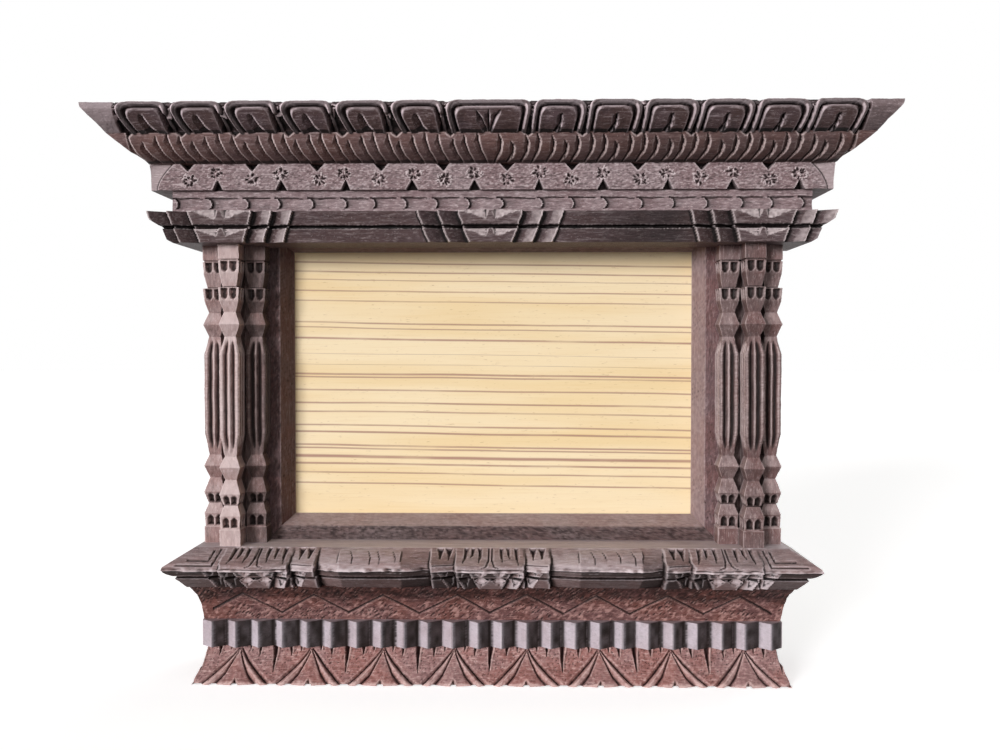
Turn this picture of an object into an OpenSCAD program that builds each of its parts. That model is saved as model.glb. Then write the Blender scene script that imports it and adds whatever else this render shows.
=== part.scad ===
// Carved wooden window: stacked carved mouldings round a framed blind panel.
// Millimetres, +Z up, the front faces -Y, the flat back lies on one plane.

/* [Heights] */
// Height of the lotus plinth at the foot
plinth_h = 13; // [11:0.5:16]
// Height of the band of pointed dentils
dentil_h = 10.5; // [9:0.5:14]
// Height of the hollow frieze with the zigzag lines
frieze_h = 14.5; // [13:0.5:18]
// Height of the window sill
sill_h = 15.5; // [14:0.5:19]
// Height of the posts between sill and lintel
opening_h = 122.5; // [105:0.5:150]
// Height of the lintel
lintel_h = 12; // [11:0.5:15]
// Height of the band of running scrolls
scroll_h = 8.8; // [8:0.2:11]
// Height of the band with triangular notches
notched_h = 10.3; // [9:0.2:13]
// Height of the lower crown moulding
leaf_h = 9.2; // [8:0.2:12]
// Height of the upper crown moulding
lotus_h = 9.8; // [9:0.2:13]

/* [Lengths] */
// Length of the plinth at its foot
plinth_w = 238; // [232:1:260]
// Length of the dentil band
dentil_w = 235; // [231:1:242]
// Length of the frieze at its top
frieze_w = 243; // [238:1:250]
// Length of the sill from tip to tip
sill_w = 260; // [258:1:290]
// Length of the lintel from tip to tip
lintel_w = 272; // [266:1:290]
// Length of the scroll band
scroll_w = 255; // [250:1:266]
// Length of the notched band
notched_w = 271; // [262:1:280]
// Length of the lower crown moulding at its top
leaf_w = 294; // [286:1:300]
// Length of the crown from tip to tip
lotus_w = 308; // [302:1:326]

/* [Depths in front of the back plane] */
// Plinth at its foot
plinth_d = 42; // [40:0.5:46]
// Tips of the dentils
dentil_d = 36; // [34:0.5:39]
// Frieze at its top
frieze_d = 36.5; // [35:0.5:38.5]
// Front lip of the sill
sill_d = 47; // [45:0.5:52]
// Top edge of the lintel blocks
lintel_d = 42; // [41:0.5:46]
// Face of the scroll band
scroll_d = 35; // [33:0.5:37]
// Face of the notched band
notched_d = 38; // [36:0.5:40]
// Top edge of the lower crown moulding
leaf_d = 52; // [49:0.5:55]
// Front edge of the crown
lotus_d = 61; // [58:0.5:66]

/* [Window frame] */
// Clear width of the panel between the stiles
clear_w = 170; // [160:1:176]
// Width of each frame member
frame_w = 13; // [12:0.5:14]
// Depth of the frame
frame_d = 16; // [15:0.5:18]
// Width of the splayed inner bevel
bevel_w = 4; // [2.5:0.1:5]
// Thickness of the blind panel
panel_t = 4; // [3:0.1:5]
// Depth that the sill is cut down to seat the frame
seat_h = 3.5; // [2.5:0.1:4.5]

/* [Posts] */
// Width of one square colonnette
col_w = 8.4; // [7.6:0.1:9]
// Step between the side colonnettes and the middle one
col_step = 8; // [6:0.5:8.5]

/* [Carving] */
// Petals on each side of the crown's wide middle petal
side_petals = 6; // [4:1:7]
// Ridges on each half of the lower crown moulding
leaf_cuts = 27; // [20:1:30]
// Triangular notches along each edge of the notched band
notch_count = 10; // [8:1:12]
// Running scrolls along the scroll band
scroll_count = 20; // [16:1:22]
// Pointed dentils along the dentil band
dentil_count = 24; // [20:1:28]
// Full petals along the plinth
plinth_petals = 7; // [5:2:9]
// Full waves of the frieze's zigzag
zigzags = 8; // [6:1:10]
// Depth of the deepest carving strokes
carve_d = 1.3; // [0.8:0.1:1.6]
// Depth of the fine carving strokes
line_d = 0.8; // [0.5:0.1:1]

/* [Hidden] */
$fn = 48;
eps = 0.6;
z_dentil = plinth_h;
z_frieze = z_dentil + dentil_h;
z_sill = z_frieze + frieze_h;
z_open = z_sill + sill_h;
z_lintel = z_open + opening_h;
z_scroll = z_lintel + lintel_h;
z_notched = z_scroll + scroll_h;
z_leaf = z_notched + notched_h;
z_lotus = z_leaf + leaf_h;
frame_x = clear_w / 2 + frame_w;
frame_z0 = z_open - seat_h;
frame_z1 = z_scroll;
panel_lap = 5;
panel_back = 2;
rebate_d = panel_back + panel_t;
col_gap = 0.3;
post_x = frame_x + 8;
post_d = frame_d + col_w + col_step;
ledge_d = post_d + 1;
dark = [0.30, 0.19, 0.16];
brown = [0.40, 0.26, 0.21];
pale = [0.90, 0.74, 0.42];

// Moves a piece from the back plane to the object's centre.
module place() {
    translate([0, lotus_d / 2, 0])
        children();
}

// Bar along X of a section drawn as [forward, height].
module bar(length, points) {
    translate([-length / 2, 0, 0])
        rotate([90, 0, 90])
            linear_extrude(length)
                polygon([for (p = points) [-p[0], p[1]]]);
}

// Prism of an elevation drawn as [x, height], from depth d0 to depth d1.
module front(d0, d1) {
    translate([0, -d0, 0])
        rotate([90, 0, 0])
            linear_extrude(d1 - d0)
                children();
}

// Right half of an end outline, completed to a symmetrical elevation.
function both(half) = concat(half, [for (i = [len(half) - 1 : -1 : 0]) [-half[i][0], half[i][1]]]);

// Elevation strokes (child 1) sunk to a depth below the face of a body (child 0).
module sunk(depth, d0, d1) {
    difference() {
        front(d0, d1)
            children(1);
        translate([0, depth, 0])
            children(0);
    }
}

// Arched outline with rounded upper corners, standing on z = foot.
module arch(half, foot, top, r) {
    translate([-half, foot])
        square([2 * half, top - r - foot]);
    translate([-half + r, foot])
        square([2 * half - 2 * r, top - foot]);
    for (s = [-1, 1])
        translate([s * (half - r), top - r])
            circle(r);
}

// Slim stroke between two points, pointed at the start.
module stroke(p, q, w) {
    n = [q[1] - p[1], p[0] - q[0]] / norm(q - p);
    m = p * 0.45 + q * 0.55;
    polygon([p, m + n * w / 2, q + n * w / 3, q - n * w / 3, m - n * w / 2]);
}

// Straight line of even width between two points.
module line(p, q, w) {
    n = [q[1] - p[1], p[0] - q[0]] / norm(q - p) * w / 2;
    polygon([p + n, q + n, q - n, p - n]);
}

// Crown: a projecting row of lotus petals with pointed plain wings.
petal_r = 3.6;
petal_mid = 0.107 * leaf_w / 2 + 0.6;
petal_w = (leaf_w / 2 - 6.5 - petal_mid) / side_petals;

module lotus_body() {
    half = leaf_w / 2;
    tip = lotus_w / 2;
    fall = lotus_d - leaf_d;
    intersection() {
        translate([0, 0, z_lotus])
            bar(lotus_w, [[0, 0], [leaf_d, 0], [leaf_d + 0.55 * fall, 0.3 * lotus_h],
                [lotus_d - 0.4, 0.66 * lotus_h], [lotus_d, 0.84 * lotus_h], [lotus_d - 1, lotus_h], [0, lotus_h]]);
        translate([0, 0, z_lotus])
            front(-1, lotus_d + 1)
                polygon(both([[half, 0], [half + 0.26 * (tip - half), 0.3 * lotus_h],
                    [tip - 0.8, lotus_h - 1.9], [tip, lotus_h - 0.4], [tip - 0.6, lotus_h]]));
    }
}

module petal_row(inset, foot, top, r) {
    arch(petal_mid - inset, foot, top, r);
    for (i = [0 : side_petals - 1], s = [-1, 1])
        translate([s * (petal_mid + (i + 0.5) * petal_w), 0])
            arch(petal_w / 2 - inset, foot, top, r);
}

module petal_gaps() {
    half = petal_mid + side_petals * petal_w + 0.8;
    difference() {
        translate([-half, -eps])
            square([2 * half, lotus_h + 2 * eps]);
        petal_row(0.7, -2 * eps, lotus_h - 0.7, petal_r);
    }
}

module petal_borders() {
    difference() {
        petal_row(2.3, 0.4, lotus_h - 2.2, petal_r - 1);
        petal_row(3.3, -eps, lotus_h - 3.2, petal_r - 1.6);
    }
}

module petal_veins() {
    for (i = [0 : side_petals - 1], s = [-1, 1])
        translate([s * (petal_mid + (i + 0.5) * petal_w), 0])
            stroke([s * 1.2, 0.56 * lotus_h], [-s * 1.6, 0.1 * lotus_h], 1.5);
    for (s = [-1, 0, 1])
        stroke([s * 5.4, 0.58 * lotus_h], [s * 1.8, 0.1 * lotus_h], 1.6);
}

module crown_lotus() {
    color(dark)
        place()
            difference() {
                lotus_body();
                sunk(carve_d, leaf_d - 8, lotus_d + 1) {
                    lotus_body();
                    translate([0, z_lotus])
                        petal_gaps();
                }
                sunk(line_d, leaf_d - 8, lotus_d + 1) {
                    lotus_body();
                    translate([0, z_lotus])
                        petal_borders();
                }
                sunk(carve_d, leaf_d - 8, lotus_d + 1) {
                    lotus_body();
                    translate([0, z_lotus])
                        petal_veins();
                }
            }
}

// Lower crown moulding: an ovolo cut with curved ridges.
leaf_foot = notched_w / 2 + 0.4;

module leaf_body() {
    fall = leaf_d - notched_d - 1;
    intersection() {
        translate([0, 0, z_leaf])
            bar(leaf_w, [[0, 0], [notched_d + 1, 0], [notched_d + 1 + 0.56 * fall, 0.28 * leaf_h],
                [leaf_d - 0.12 * fall, 0.65 * leaf_h], [leaf_d, leaf_h], [0, leaf_h]]);
        translate([0, 0, z_leaf])
            front(-1, leaf_d + 1)
                polygon(both([[leaf_foot, 0], [leaf_w / 2, leaf_h]]));
    }
}

module leaf_strokes() {
    pitch = (leaf_foot - 2) / leaf_cuts;
    for (i = [0 : leaf_cuts - 1], s = [-1, 1]) {
        x = (i + 0.5) * pitch;
        z = leaf_h * (i % 3 == 1 ? 0.72 : 0.93);
        stroke([s * (x + 0.6), z], [s * (x - 0.4), 0.06 * leaf_h], 1.5);
    }
}

module leaf_nicks() {
    for (i = [0 : side_petals], s = [-1, 1])
        translate([s * (petal_mid + i * petal_w), leaf_h])
            polygon([[-2.4, eps], [0, -1.7], [2.4, eps]]);
}

module crown_leaf() {
    color(dark)
        place()
            difference() {
                leaf_body();
                sunk(line_d, notched_d - 4, leaf_d + 1) {
                    leaf_body();
                    translate([0, z_leaf])
                        leaf_strokes();
                }
                sunk(carve_d, notched_d - 4, leaf_d + 1) {
                    leaf_body();
                    translate([0, z_leaf])
                        leaf_nicks();
                }
            }
}

// Flat band with rows of dark triangular notches and bevelled end facets.
module notched_band() {
    pitch = (notched_w - 16) / notch_count;
    color(brown)
        place()
            difference() {
                translate([0, 0, z_notched])
                    bar(notched_w, [[0, 0], [notched_d - 0.6, 0], [notched_d, notched_h], [0, notched_h]]);
                translate([0, 0, z_notched])
                    front(notched_d - 5, notched_d + 1)
                        for (i = [0 : notch_count - 1]) {
                            x = -notched_w / 2 + 8 + i * pitch;
                            translate([x + 0.28 * pitch, notched_h])
                                polygon([[-3, eps], [0, -3.2], [3, eps]]);
                            translate([x + 0.76 * pitch, 0])
                                polygon([[-2.7, -eps], [0, 4.1], [2.7, -eps]]);
                        }
                for (s = [-1, 1])
                    translate([s * notched_w / 2, -notched_d, z_notched - 1])
                        linear_extrude(notched_h + 2)
                            polygon([[-s * 6, -1], [s, -1], [s, 1.8]]);
            }
}

// Flat band with a row of running scrolls below a plain strip.
module scroll_hook() {
    difference() {
        circle(2.6);
        translate([0.9, -0.3])
            circle(2.5);
    }
}

module scroll_band() {
    pitch = (scroll_w - 8) / scroll_count;
    color(brown)
        place()
            difference() {
                translate([0, 0, z_scroll])
                    bar(scroll_w, [[0, 0], [scroll_d, 0], [scroll_d, scroll_h], [0, scroll_h]]);
                translate([0, 0, z_scroll])
                    front(scroll_d - line_d, scroll_d + 1)
                        for (i = [0 : scroll_count - 1]) {
                            x = -scroll_w / 2 + 7 + i * pitch;
                            translate([x, 0.42 * scroll_h])
                                scroll_hook();
                            translate([x, 0.42 * scroll_h])
                                stroke([0.62 * pitch, 2.5], [0.1, 2.1], 1.1);
                        }
            }
}

// Lintel: two tiers parted by a kerf, with three projecting carved blocks.
lintel_kerf = 0.48 * lintel_h;

function lintel_section(forward) = [[0, 0], [forward - 3.5, 0], [forward - 2, lintel_kerf - 0.4],
    [forward - 4.6, lintel_kerf], [forward - 4.6, lintel_kerf + 0.7], [forward - 1.6, lintel_kerf + 0.9],
    [forward, lintel_h], [0, lintel_h]];

module lintel_block(x, half) {
    intersection() {
        translate([x, 0, z_lintel])
            bar(2 * half + 2, lintel_section(lintel_d));
        translate([x, 0, z_lintel])
            front(-1, lintel_d + 1)
                polygon(both([[half - 5, 0], [half, lintel_h]]));
    }
}

module lintel_ribs() {
    for (s = [-1, 1]) {
        for (x = [10.5, 17.5])
            line([s * (x - 1.6), -eps], [s * (x + 1.6), lintel_h + eps], 1.6);
        stroke([s * 7.4, lintel_kerf - 0.6], [s * 1.4, lintel_kerf - 3.6], 1.8);
        stroke([s * 7.8, lintel_h - 0.6], [s * 1.4, lintel_h - 2.8], 1.8);
    }
}

module lintel_body() {
    half = lintel_w / 2;
    side = post_x + 1;
    intersection() {
        union() {
            translate([0, 0, z_lintel])
                bar(lintel_w, lintel_section(lintel_d - 2));
            lintel_block(0, 27);
            for (s = [-1, 1])
                lintel_block(s * side, 27);
        }
        translate([0, 0, z_lintel])
            front(-1, lintel_d + 1)
                polygon(both([[half - 9, 0], [half - 7, 1.2], [half - 5.4, lintel_kerf],
                    [half - 4.6, lintel_kerf + 0.7], [half - 0.6, lintel_h - 2.8], [half, lintel_h]]));
    }
}

module lintel() {
    side = post_x + 1;
    color(dark)
        place()
            difference() {
                lintel_body();
                translate([-frame_x, -frame_d, z_lintel - 1])
                    cube([2 * frame_x, frame_d + 1, lintel_h + 2]);
                sunk(carve_d, lintel_d - 6, lintel_d + 1) {
                    lintel_body();
                    for (x = [-side, 0, side])
                        translate([x, z_lintel])
                            lintel_ribs();
                }
            }
}

// Posts: a pilaster carrying three square colonnettes, the middle one forward.
// Height above the sill as a share of the opening, and the inset of the face.
col_profile = [[0, 0], [0.054, 0], [0.056, 0.4], [0.097, 0.1], [0.099, 0], [0.135, 1.6], [0.137, 1.2],
    [0.17, 0.1], [0.172, 0], [0.219, 1.9], [0.261, 0], [0.297, 1.8], [0.37, 0.1], [0.637, 0],
    [0.696, 1.9], [0.736, 0], [0.776, 1.8], [0.814, 0.4], [0.857, 0], [0.859, 1.5], [0.905, 0.3],
    [0.945, 0], [0.947, 0.5], [0.95, 0.5], [0.952, 0], [1, 0]];
// Scooped bands as [foot, head] shares of the opening.
col_bands = [[0.06, 0.094], [0.14, 0.167], [0.818, 0.853], [0.909, 0.942]];

module col_flutes() {
    for (x = [-0.17, 0.17])
        translate([x * col_w, 0, 0.297 * opening_h])
            linear_extrude(0.399 * opening_h)
                polygon([[-1, 0.3], [1, 0.3], [0, -1.1]]);
}

module col_scoops() {
    for (b = col_bands, s = [-1, 1])
        translate([s * 0.24 * col_w, 0])
            arch(0.14 * col_w, b[0] * opening_h, b[1] * opening_h, 0.12 * col_w);
}

// One colonnette standing on z = 0 with its front face at the given depth.
module colonnette(d0, d1) {
    difference() {
        intersection() {
            front(d0, d1)
                polygon(both([for (p = col_profile) [col_w / 2 - p[1], p[0] * opening_h]]));
            bar(col_w, concat([[d0, 0]], [for (p = col_profile) [d1 - p[1], p[0] * opening_h]],
                [[d0, opening_h]]));
        }
        front(d1 - 0.9, d1 + 1)
            col_scoops();
        translate([0, -d1, 0])
            mirror([0, 1, 0])
                col_flutes();
        for (a = [-90, 90])
            translate([sign(a) * col_w / 2, col_w / 2 - d1, 0])
                rotate([0, 0, a])
                    mirror([0, 1, 0])
                        col_flutes();
    }
}

module post() {
    translate([0, 0, z_open]) {
        translate([frame_x - post_x, -frame_d, 0])
            cube([post_x - frame_x + 1.5 * col_w - 0.5, frame_d, opening_h]);
        translate([-0.25 * col_w, -frame_d - col_w, 0])
            cube([0.5 * col_w, col_w + 0.5, opening_h]);
        colonnette(frame_d + col_w - 0.5, post_d);
        for (s = [-1, 1])
            translate([s * (col_w + col_gap), 0, 0])
                colonnette(frame_d - (s > 0 ? 0.5 : 0), frame_d + col_w);
    }
}

module right_post() {
    color(dark)
        place()
            translate([post_x, 0, 0])
                post();
}

module left_post() {
    mirror([1, 0, 0])
        right_post();
}

// Frame: four mitred members with a splayed inner edge and a rebate behind.
// Section of a member as [distance from the clear opening, depth].
frame_section = [[0, rebate_d], [0, rebate_d + 1], [bevel_w, frame_d], [frame_w, frame_d],
    [frame_w, 0], [panel_lap, 0], [panel_lap, rebate_d]];

module stile() {
    intersection() {
        translate([0, 0, frame_z0])
            linear_extrude(frame_z1 - frame_z0)
                polygon([for (p = frame_section) [clear_w / 2 + p[0], -p[1]]]);
        front(-1, frame_d + 1)
            polygon([[frame_x, frame_z0], [frame_x, frame_z1],
                [frame_x - frame_w, frame_z1 - frame_w], [frame_x - frame_w, frame_z0 + frame_w]]);
    }
}

module rail(z_out, up) {
    intersection() {
        bar(2 * frame_x, [for (p = frame_section) [p[1], z_out + up * (frame_w - p[0])]]);
        front(-1, frame_d + 1)
            polygon([[-frame_x, z_out], [frame_x, z_out],
                [frame_x - frame_w, z_out + up * frame_w], [frame_w - frame_x, z_out + up * frame_w]]);
    }
}

module frame_head() {
    color(dark)
        place()
            rail(frame_z1, -1);
}

module frame_bottom_rail() {
    color(dark)
        place()
            rail(frame_z0, 1);
}

module frame_right_stile() {
    color(dark)
        place()
            stile();
}

module frame_left_stile() {
    mirror([1, 0, 0])
        frame_right_stile();
}

// Blind panel of pale striped board, seated in the frame's rear rebate.
module back_panel() {
    slack = 0.3;
    w = clear_w + 2 * panel_lap - 2 * slack;
    z0 = frame_z0 + frame_w - panel_lap + slack;
    h = frame_z1 - frame_z0 - 2 * (frame_w - panel_lap + slack);
    color(pale)
        place()
            translate([-w / 2, -rebate_d, z0])
                cube([w, panel_t, h]);
}

// Sill: a ledge with a sloping carved front of stepped blocks, leaves and straps.
// Blocks of the right half as [start, end, setback], as shares of the half length.
sill_blocks = [[-0.105, 0.105, 0], [0.105, 0.182, 1.5], [0.182, 0.275, 3.4], [0.275, 0.46, 2.4],
    [0.46, 0.53, 3.4], [0.53, 0.61, 1.5], [0.61, 0.822, 0], [0.822, 1, 1.5]];
sill_half = sill_w / 2;
sill_tier = 0.3 * sill_h;

function sill_section(forward) = [[0, 0], [forward - 8, 0], [forward - 4, sill_tier - 0.4],
    [forward - 6, sill_tier], [forward - 6, sill_tier + 0.6], [forward - 2.4, sill_tier + 0.9],
    [forward, sill_tier + 4.8], [forward - 0.6, sill_tier + 6], [ledge_d, sill_h], [0, sill_h]];

module sill_body() {
    intersection() {
        translate([0, 0, z_sill])
            for (b = sill_blocks, s = [-1, 1])
                translate([s * (b[0] + b[1]) * sill_half / 2, 0, 0])
                    bar((b[1] - b[0]) * sill_half, sill_section(sill_d - b[2]));
        translate([0, 0, z_sill])
            front(-1, sill_d + 1)
                polygon(both([[sill_half - 8, 0], [sill_half - 4.5, sill_tier - 0.4],
                    [sill_half - 5, sill_tier + 0.6], [sill_half - 1, sill_tier + 2.4], [sill_half, sill_tier + 3.4],
                    [sill_half - 2.5, sill_tier + 5.4], [sill_half - 10.5, sill_h]]));
    }
}

module sill_leaf(x, spread) {
    for (k = [-2.5, -1.5, -0.5, 0.5, 1.5, 2.5])
        stroke([x + k * spread * 1.15, sill_h - 0.9], [x + k * spread * 0.8, sill_tier + 7.2], 1.5);
}

module sill_strokes() {
    for (x = [-0.716, 0, 0.716])
        sill_leaf(x * sill_half, 4);
    for (s = [-1, 1], x = [0.3, 0.34, 0.38, 0.42])
        stroke([s * (x + 0.02) * sill_half, sill_h - 1.6], [s * x * sill_half, sill_tier + 6], 1.3);
    for (s = [-1, 1], x = [0.145, 0.57])
        stroke([s * (x + 0.012) * sill_half, sill_h - 1.4], [s * (x - 0.006) * sill_half, sill_tier + 6.6], 1.8);
    for (c = [-0.716, 0, 0.716], s = [-1, 1], x = [0.04, 0.09, 0.14])
        line([(c + s * x) * sill_half, -eps], [(c + s * (x + 0.022)) * sill_half, sill_tier + 3.6], 1.5);
}

module sill() {
    color(brown)
        place()
            difference() {
                sill_body();
                translate([-frame_x, -frame_d, frame_z0])
                    cube([2 * frame_x, frame_d + 1, seat_h + 1]);
                sunk(carve_d, ledge_d - 6, sill_d + 1) {
                    sill_body();
                    translate([0, z_sill])
                        sill_strokes();
                }
            }
}

// Hollow frieze with an incised zigzag.
frieze_foot = dentil_d - 5;

module frieze_body() {
    half = frieze_w / 2;
    rise = frieze_d - frieze_foot;
    intersection() {
        translate([0, 0, z_frieze])
            bar(frieze_w, [[0, 0], [frieze_foot, 0], [frieze_foot + 0.18 * rise, 0.4 * frieze_h],
                [frieze_foot + 0.5 * rise, 0.72 * frieze_h], [frieze_d, frieze_h], [0, frieze_h]]);
        translate([0, 0, z_frieze])
            front(-1, frieze_d + 1)
                polygon(both([[half - 4.4, 0], [half - 3.6, 0.4 * frieze_h],
                    [half - 2.2, 0.72 * frieze_h], [half, frieze_h]]));
    }
}

module frieze_zigzag() {
    pitch = (frieze_w - 14) / zigzags;
    for (i = [0 : zigzags - 1], s = [-1, 1]) {
        x = -frieze_w / 2 + 7 + (i + 0.5) * pitch;
        line([x + s * 0.5 * pitch, 0.22 * frieze_h], [x, 0.74 * frieze_h], 0.9);
    }
}

module frieze() {
    color(brown)
        place()
            difference() {
                frieze_body();
                sunk(line_d, frieze_foot - 5, frieze_d + 1) {
                    frieze_body();
                    translate([0, z_frieze])
                        frieze_zigzag();
                }
            }
}

// Band of pointed dentils below a flat ledge.
module dentil_band() {
    pitch = dentil_w / dentil_count;
    teeth = [for (i = [0 : dentil_count - 1], k = [0, 1])
        [-dentil_w / 2 + (i + k * 0.46) * pitch, k == 0 ? 4 - dentil_d : -dentil_d]];
    color(brown)
        place()
            translate([0, 0, z_dentil])
                linear_extrude(dentil_h)
                    polygon(concat([[-dentil_w / 2, 0]], teeth, [[dentil_w / 2, 4 - dentil_d], [dentil_w / 2, 0]]));
}

// Plinth: a flaring row of hanging lotus petals.
plinth_top_d = dentil_d - 5;
plinth_pitch = 0.856 * plinth_w / plinth_petals;

module plinth_body() {
    half = plinth_w / 2;
    flare = plinth_d - plinth_top_d;
    intersection() {
        bar(plinth_w, [[0, 0], [plinth_d - 0.6, 0], [plinth_d, 0.8], [plinth_top_d + 0.5 * flare, 0.42 * plinth_h],
            [plinth_top_d + 0.14 * flare, 0.76 * plinth_h], [plinth_top_d, plinth_h], [0, plinth_h]]);
        front(-1, plinth_d + 1)
            polygon(both([[half, 0], [half - 2, 0.42 * plinth_h], [half - 3.6, plinth_h]]));
    }
}

module plinth_petal() {
    half = plinth_pitch / 2;
    for (s = [-1, 1]) {
        line([s * (half - 1.6), plinth_h], [s * (half - 4.4), 0.62 * plinth_h], 1);
        line([s * (half - 4.4), 0.62 * plinth_h], [s * 0.9, 0.06 * plinth_h], 1);
        line([s * half, 0.6 * plinth_h], [s * 3.6, 0.03 * plinth_h], 1);
        stroke([s * 0.3 * half, 0.66 * plinth_h], [s * 0.36 * half, plinth_h], 1.3);
    }
    stroke([0, 0.3 * plinth_h], [-0.2, plinth_h], 1.7);
}

module plinth_nicks() {
    for (i = [0 : plinth_petals])
        translate([(i - plinth_petals / 2) * plinth_pitch, 0])
            polygon([[-1.5, -eps], [0, 1.9], [1.5, -eps]]);
}

module plinth_ends() {
    start = plinth_petals / 2 * plinth_pitch;
    for (s = [-1, 1]) {
        line([s * (start + 1.6), plinth_h], [s * (start + 4.4), 0.62 * plinth_h], 1);
        line([s * (start + 4.4), 0.62 * plinth_h], [s * (plinth_w / 2 - 1.5), 0.06 * plinth_h], 1);
        line([s * start, 0.6 * plinth_h], [s * (plinth_w / 2 - 5), 0.03 * plinth_h], 1);
    }
}

module lotus_plinth() {
    color(brown)
        place()
            difference() {
                plinth_body();
                sunk(line_d, plinth_top_d - 6, plinth_d + 1) {
                    plinth_body();
                    union() {
                        for (i = [0 : plinth_petals - 1])
                            translate([(i - (plinth_petals - 1) / 2) * plinth_pitch, 0])
                                plinth_petal();
                        plinth_ends();
                    }
                }
                sunk(2 * carve_d, plinth_top_d - 6, plinth_d + 1) {
                    plinth_body();
                    plinth_nicks();
                }
            }
}

crown_lotus();
crown_leaf();
notched_band();
scroll_band();
lintel();
left_post();
right_post();
frame_head();
frame_bottom_rail();
frame_left_stile();
frame_right_stile();
back_panel();
sill();
frieze();
dentil_band();
lotus_plinth();
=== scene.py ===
import math
import bpy
import numpy as np
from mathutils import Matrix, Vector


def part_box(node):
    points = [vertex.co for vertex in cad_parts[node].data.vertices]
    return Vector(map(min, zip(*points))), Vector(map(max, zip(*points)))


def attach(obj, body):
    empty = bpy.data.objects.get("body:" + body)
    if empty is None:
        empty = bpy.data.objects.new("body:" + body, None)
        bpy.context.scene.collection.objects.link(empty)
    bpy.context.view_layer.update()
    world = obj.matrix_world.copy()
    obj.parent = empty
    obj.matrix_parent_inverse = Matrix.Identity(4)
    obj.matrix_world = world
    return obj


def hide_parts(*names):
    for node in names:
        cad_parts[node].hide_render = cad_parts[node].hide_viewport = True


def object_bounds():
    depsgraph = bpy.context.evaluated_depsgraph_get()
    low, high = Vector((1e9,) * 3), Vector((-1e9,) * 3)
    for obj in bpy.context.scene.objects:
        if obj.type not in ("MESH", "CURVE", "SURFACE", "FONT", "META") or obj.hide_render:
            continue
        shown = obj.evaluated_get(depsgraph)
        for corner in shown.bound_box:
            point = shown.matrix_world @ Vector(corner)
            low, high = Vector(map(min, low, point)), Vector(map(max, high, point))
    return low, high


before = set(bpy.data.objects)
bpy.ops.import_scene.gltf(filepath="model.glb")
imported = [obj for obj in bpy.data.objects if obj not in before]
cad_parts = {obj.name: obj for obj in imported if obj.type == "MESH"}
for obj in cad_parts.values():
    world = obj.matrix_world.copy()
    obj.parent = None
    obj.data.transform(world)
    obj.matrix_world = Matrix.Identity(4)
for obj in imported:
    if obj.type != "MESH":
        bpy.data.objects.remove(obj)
cad_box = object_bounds()

# Looks of a small carved wooden window. A closed, carved mesh stands in for each bar, post and frame member of the
# solids; the panel keeps its solid. Lengths are millimetres up to add_piece: x to the right, d forward from the flat
# back, z up. A carve function gives for each point of a bar's front the height of the carving along the normal, a
# shift forward, and a tone from -1 (dark) to 1 (pale). Besides random variation and chips, the tone paints shade into
# cuts, hollows and faces turned away from the key light, and paints highlights on edges and faces turned to it.
MM, METRE = 0.001, 1000.0  # a millimetre in metres, a metre in millimetres
BACK = cad_box[1][1] * METRE
STEP = 0.33  # usual mesh spacing along a bar


def box_mm(node):
    """Lowest and highest corner of a node."""
    low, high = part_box(node)
    return [v * METRE for v in low], [v * METRE for v in high]


def measures(node):
    """Height, half length and depth of a node."""
    low, high = box_mm(node)
    return high[2] - low[2], high[0], BACK - low[1]


LOTUS_H, LOTUS_TIP, LOTUS_D = measures("crown_lotus")
LEAF_H, LEAF_HALF, LEAF_D = measures("crown_leaf")
NOTCH_H, NOTCH_HALF, NOTCH_D = measures("notched_band")
SCROLL_H, SCROLL_HALF, SCROLL_D = measures("scroll_band")
LINTEL_H, LINTEL_TIP, LINTEL_D = measures("lintel")
POST_H, _, POST_D = measures("left_post")
_, FRAME_OUT, FRAME_D = measures("frame_head")
SILL_H, SILL_TIP, SILL_D = measures("sill")
FRIEZE_H, FRIEZE_TIP, _ = measures("frieze")
TOOTH_H, TOOTH_HALF, TOOTH_D = measures("dentil_band")
PLINTH_H, PLINTH_TIP, _ = measures("lotus_plinth")


# ---- numbers on grids

CELLS = 128  # noise repeats after this many units


def noise(x, y, seed):
    """Smooth value noise in the range -1 to 1, one cell per unit."""
    grid = np.random.default_rng(seed).random((CELLS, CELLS)) * 2.0 - 1.0
    xi, yi = np.floor(x).astype(int), np.floor(y).astype(int)
    fx, fy = x - xi, y - yi
    fx, fy = fx * fx * (3 - 2 * fx), fy * fy * (3 - 2 * fy)
    x0, x1, y0, y1 = xi % CELLS, (xi + 1) % CELLS, yi % CELLS, (yi + 1) % CELLS
    a = grid[x0, y0] * (1 - fx) + grid[x1, y0] * fx
    b = grid[x0, y1] * (1 - fx) + grid[x1, y1] * fx
    return a * (1 - fy) + b * fy


def tooling(x, z, *layers):
    """Unevenness left by hand tools, from layers of (height, waves along x, waves along z, seed)."""
    return sum(height * noise(x * i, z * j, seed) for height, i, j, seed in layers)


def ramp(v, a, b):
    """Smooth step from 0 at a to 1 at b."""
    t = np.clip((v - a) / (b - a), 0.0, 1.0)
    return t * t * (3 - 2 * t)


def seg(x, z, a, b):
    """Distance to the segment a to b, the share along it, and the signed side."""
    ax, az = a
    bx, bz = b[0] - ax, b[1] - az
    length = math.hypot(bx, bz)
    t = np.clip(((x - ax) * bx + (z - az) * bz) / length ** 2, 0.0, 1.0)
    side = ((x - ax) * bz - (z - az) * bx) / length
    return np.hypot(x - ax - t * bx, z - az - t * bz), t, side


def vee(dist, width, depth):
    """Height in a V cut of the given half width."""
    return -depth * np.clip(1.0 - dist / width, 0.0, 1.0)


def gouge(x, z, a, b, width, depth):
    """Height in a spindle-shaped chisel stab from a to b."""
    dist, t, _ = seg(x, z, a, b)
    w = width * np.clip(np.sin(np.pi * np.clip(0.08 + 0.86 * t, 0, 1)), 0.05, 1.0)
    return -depth * np.clip(1.0 - dist / w, 0.0, 1.0) ** 0.85 * np.clip(w / width, 0.3, 1.0)


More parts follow.
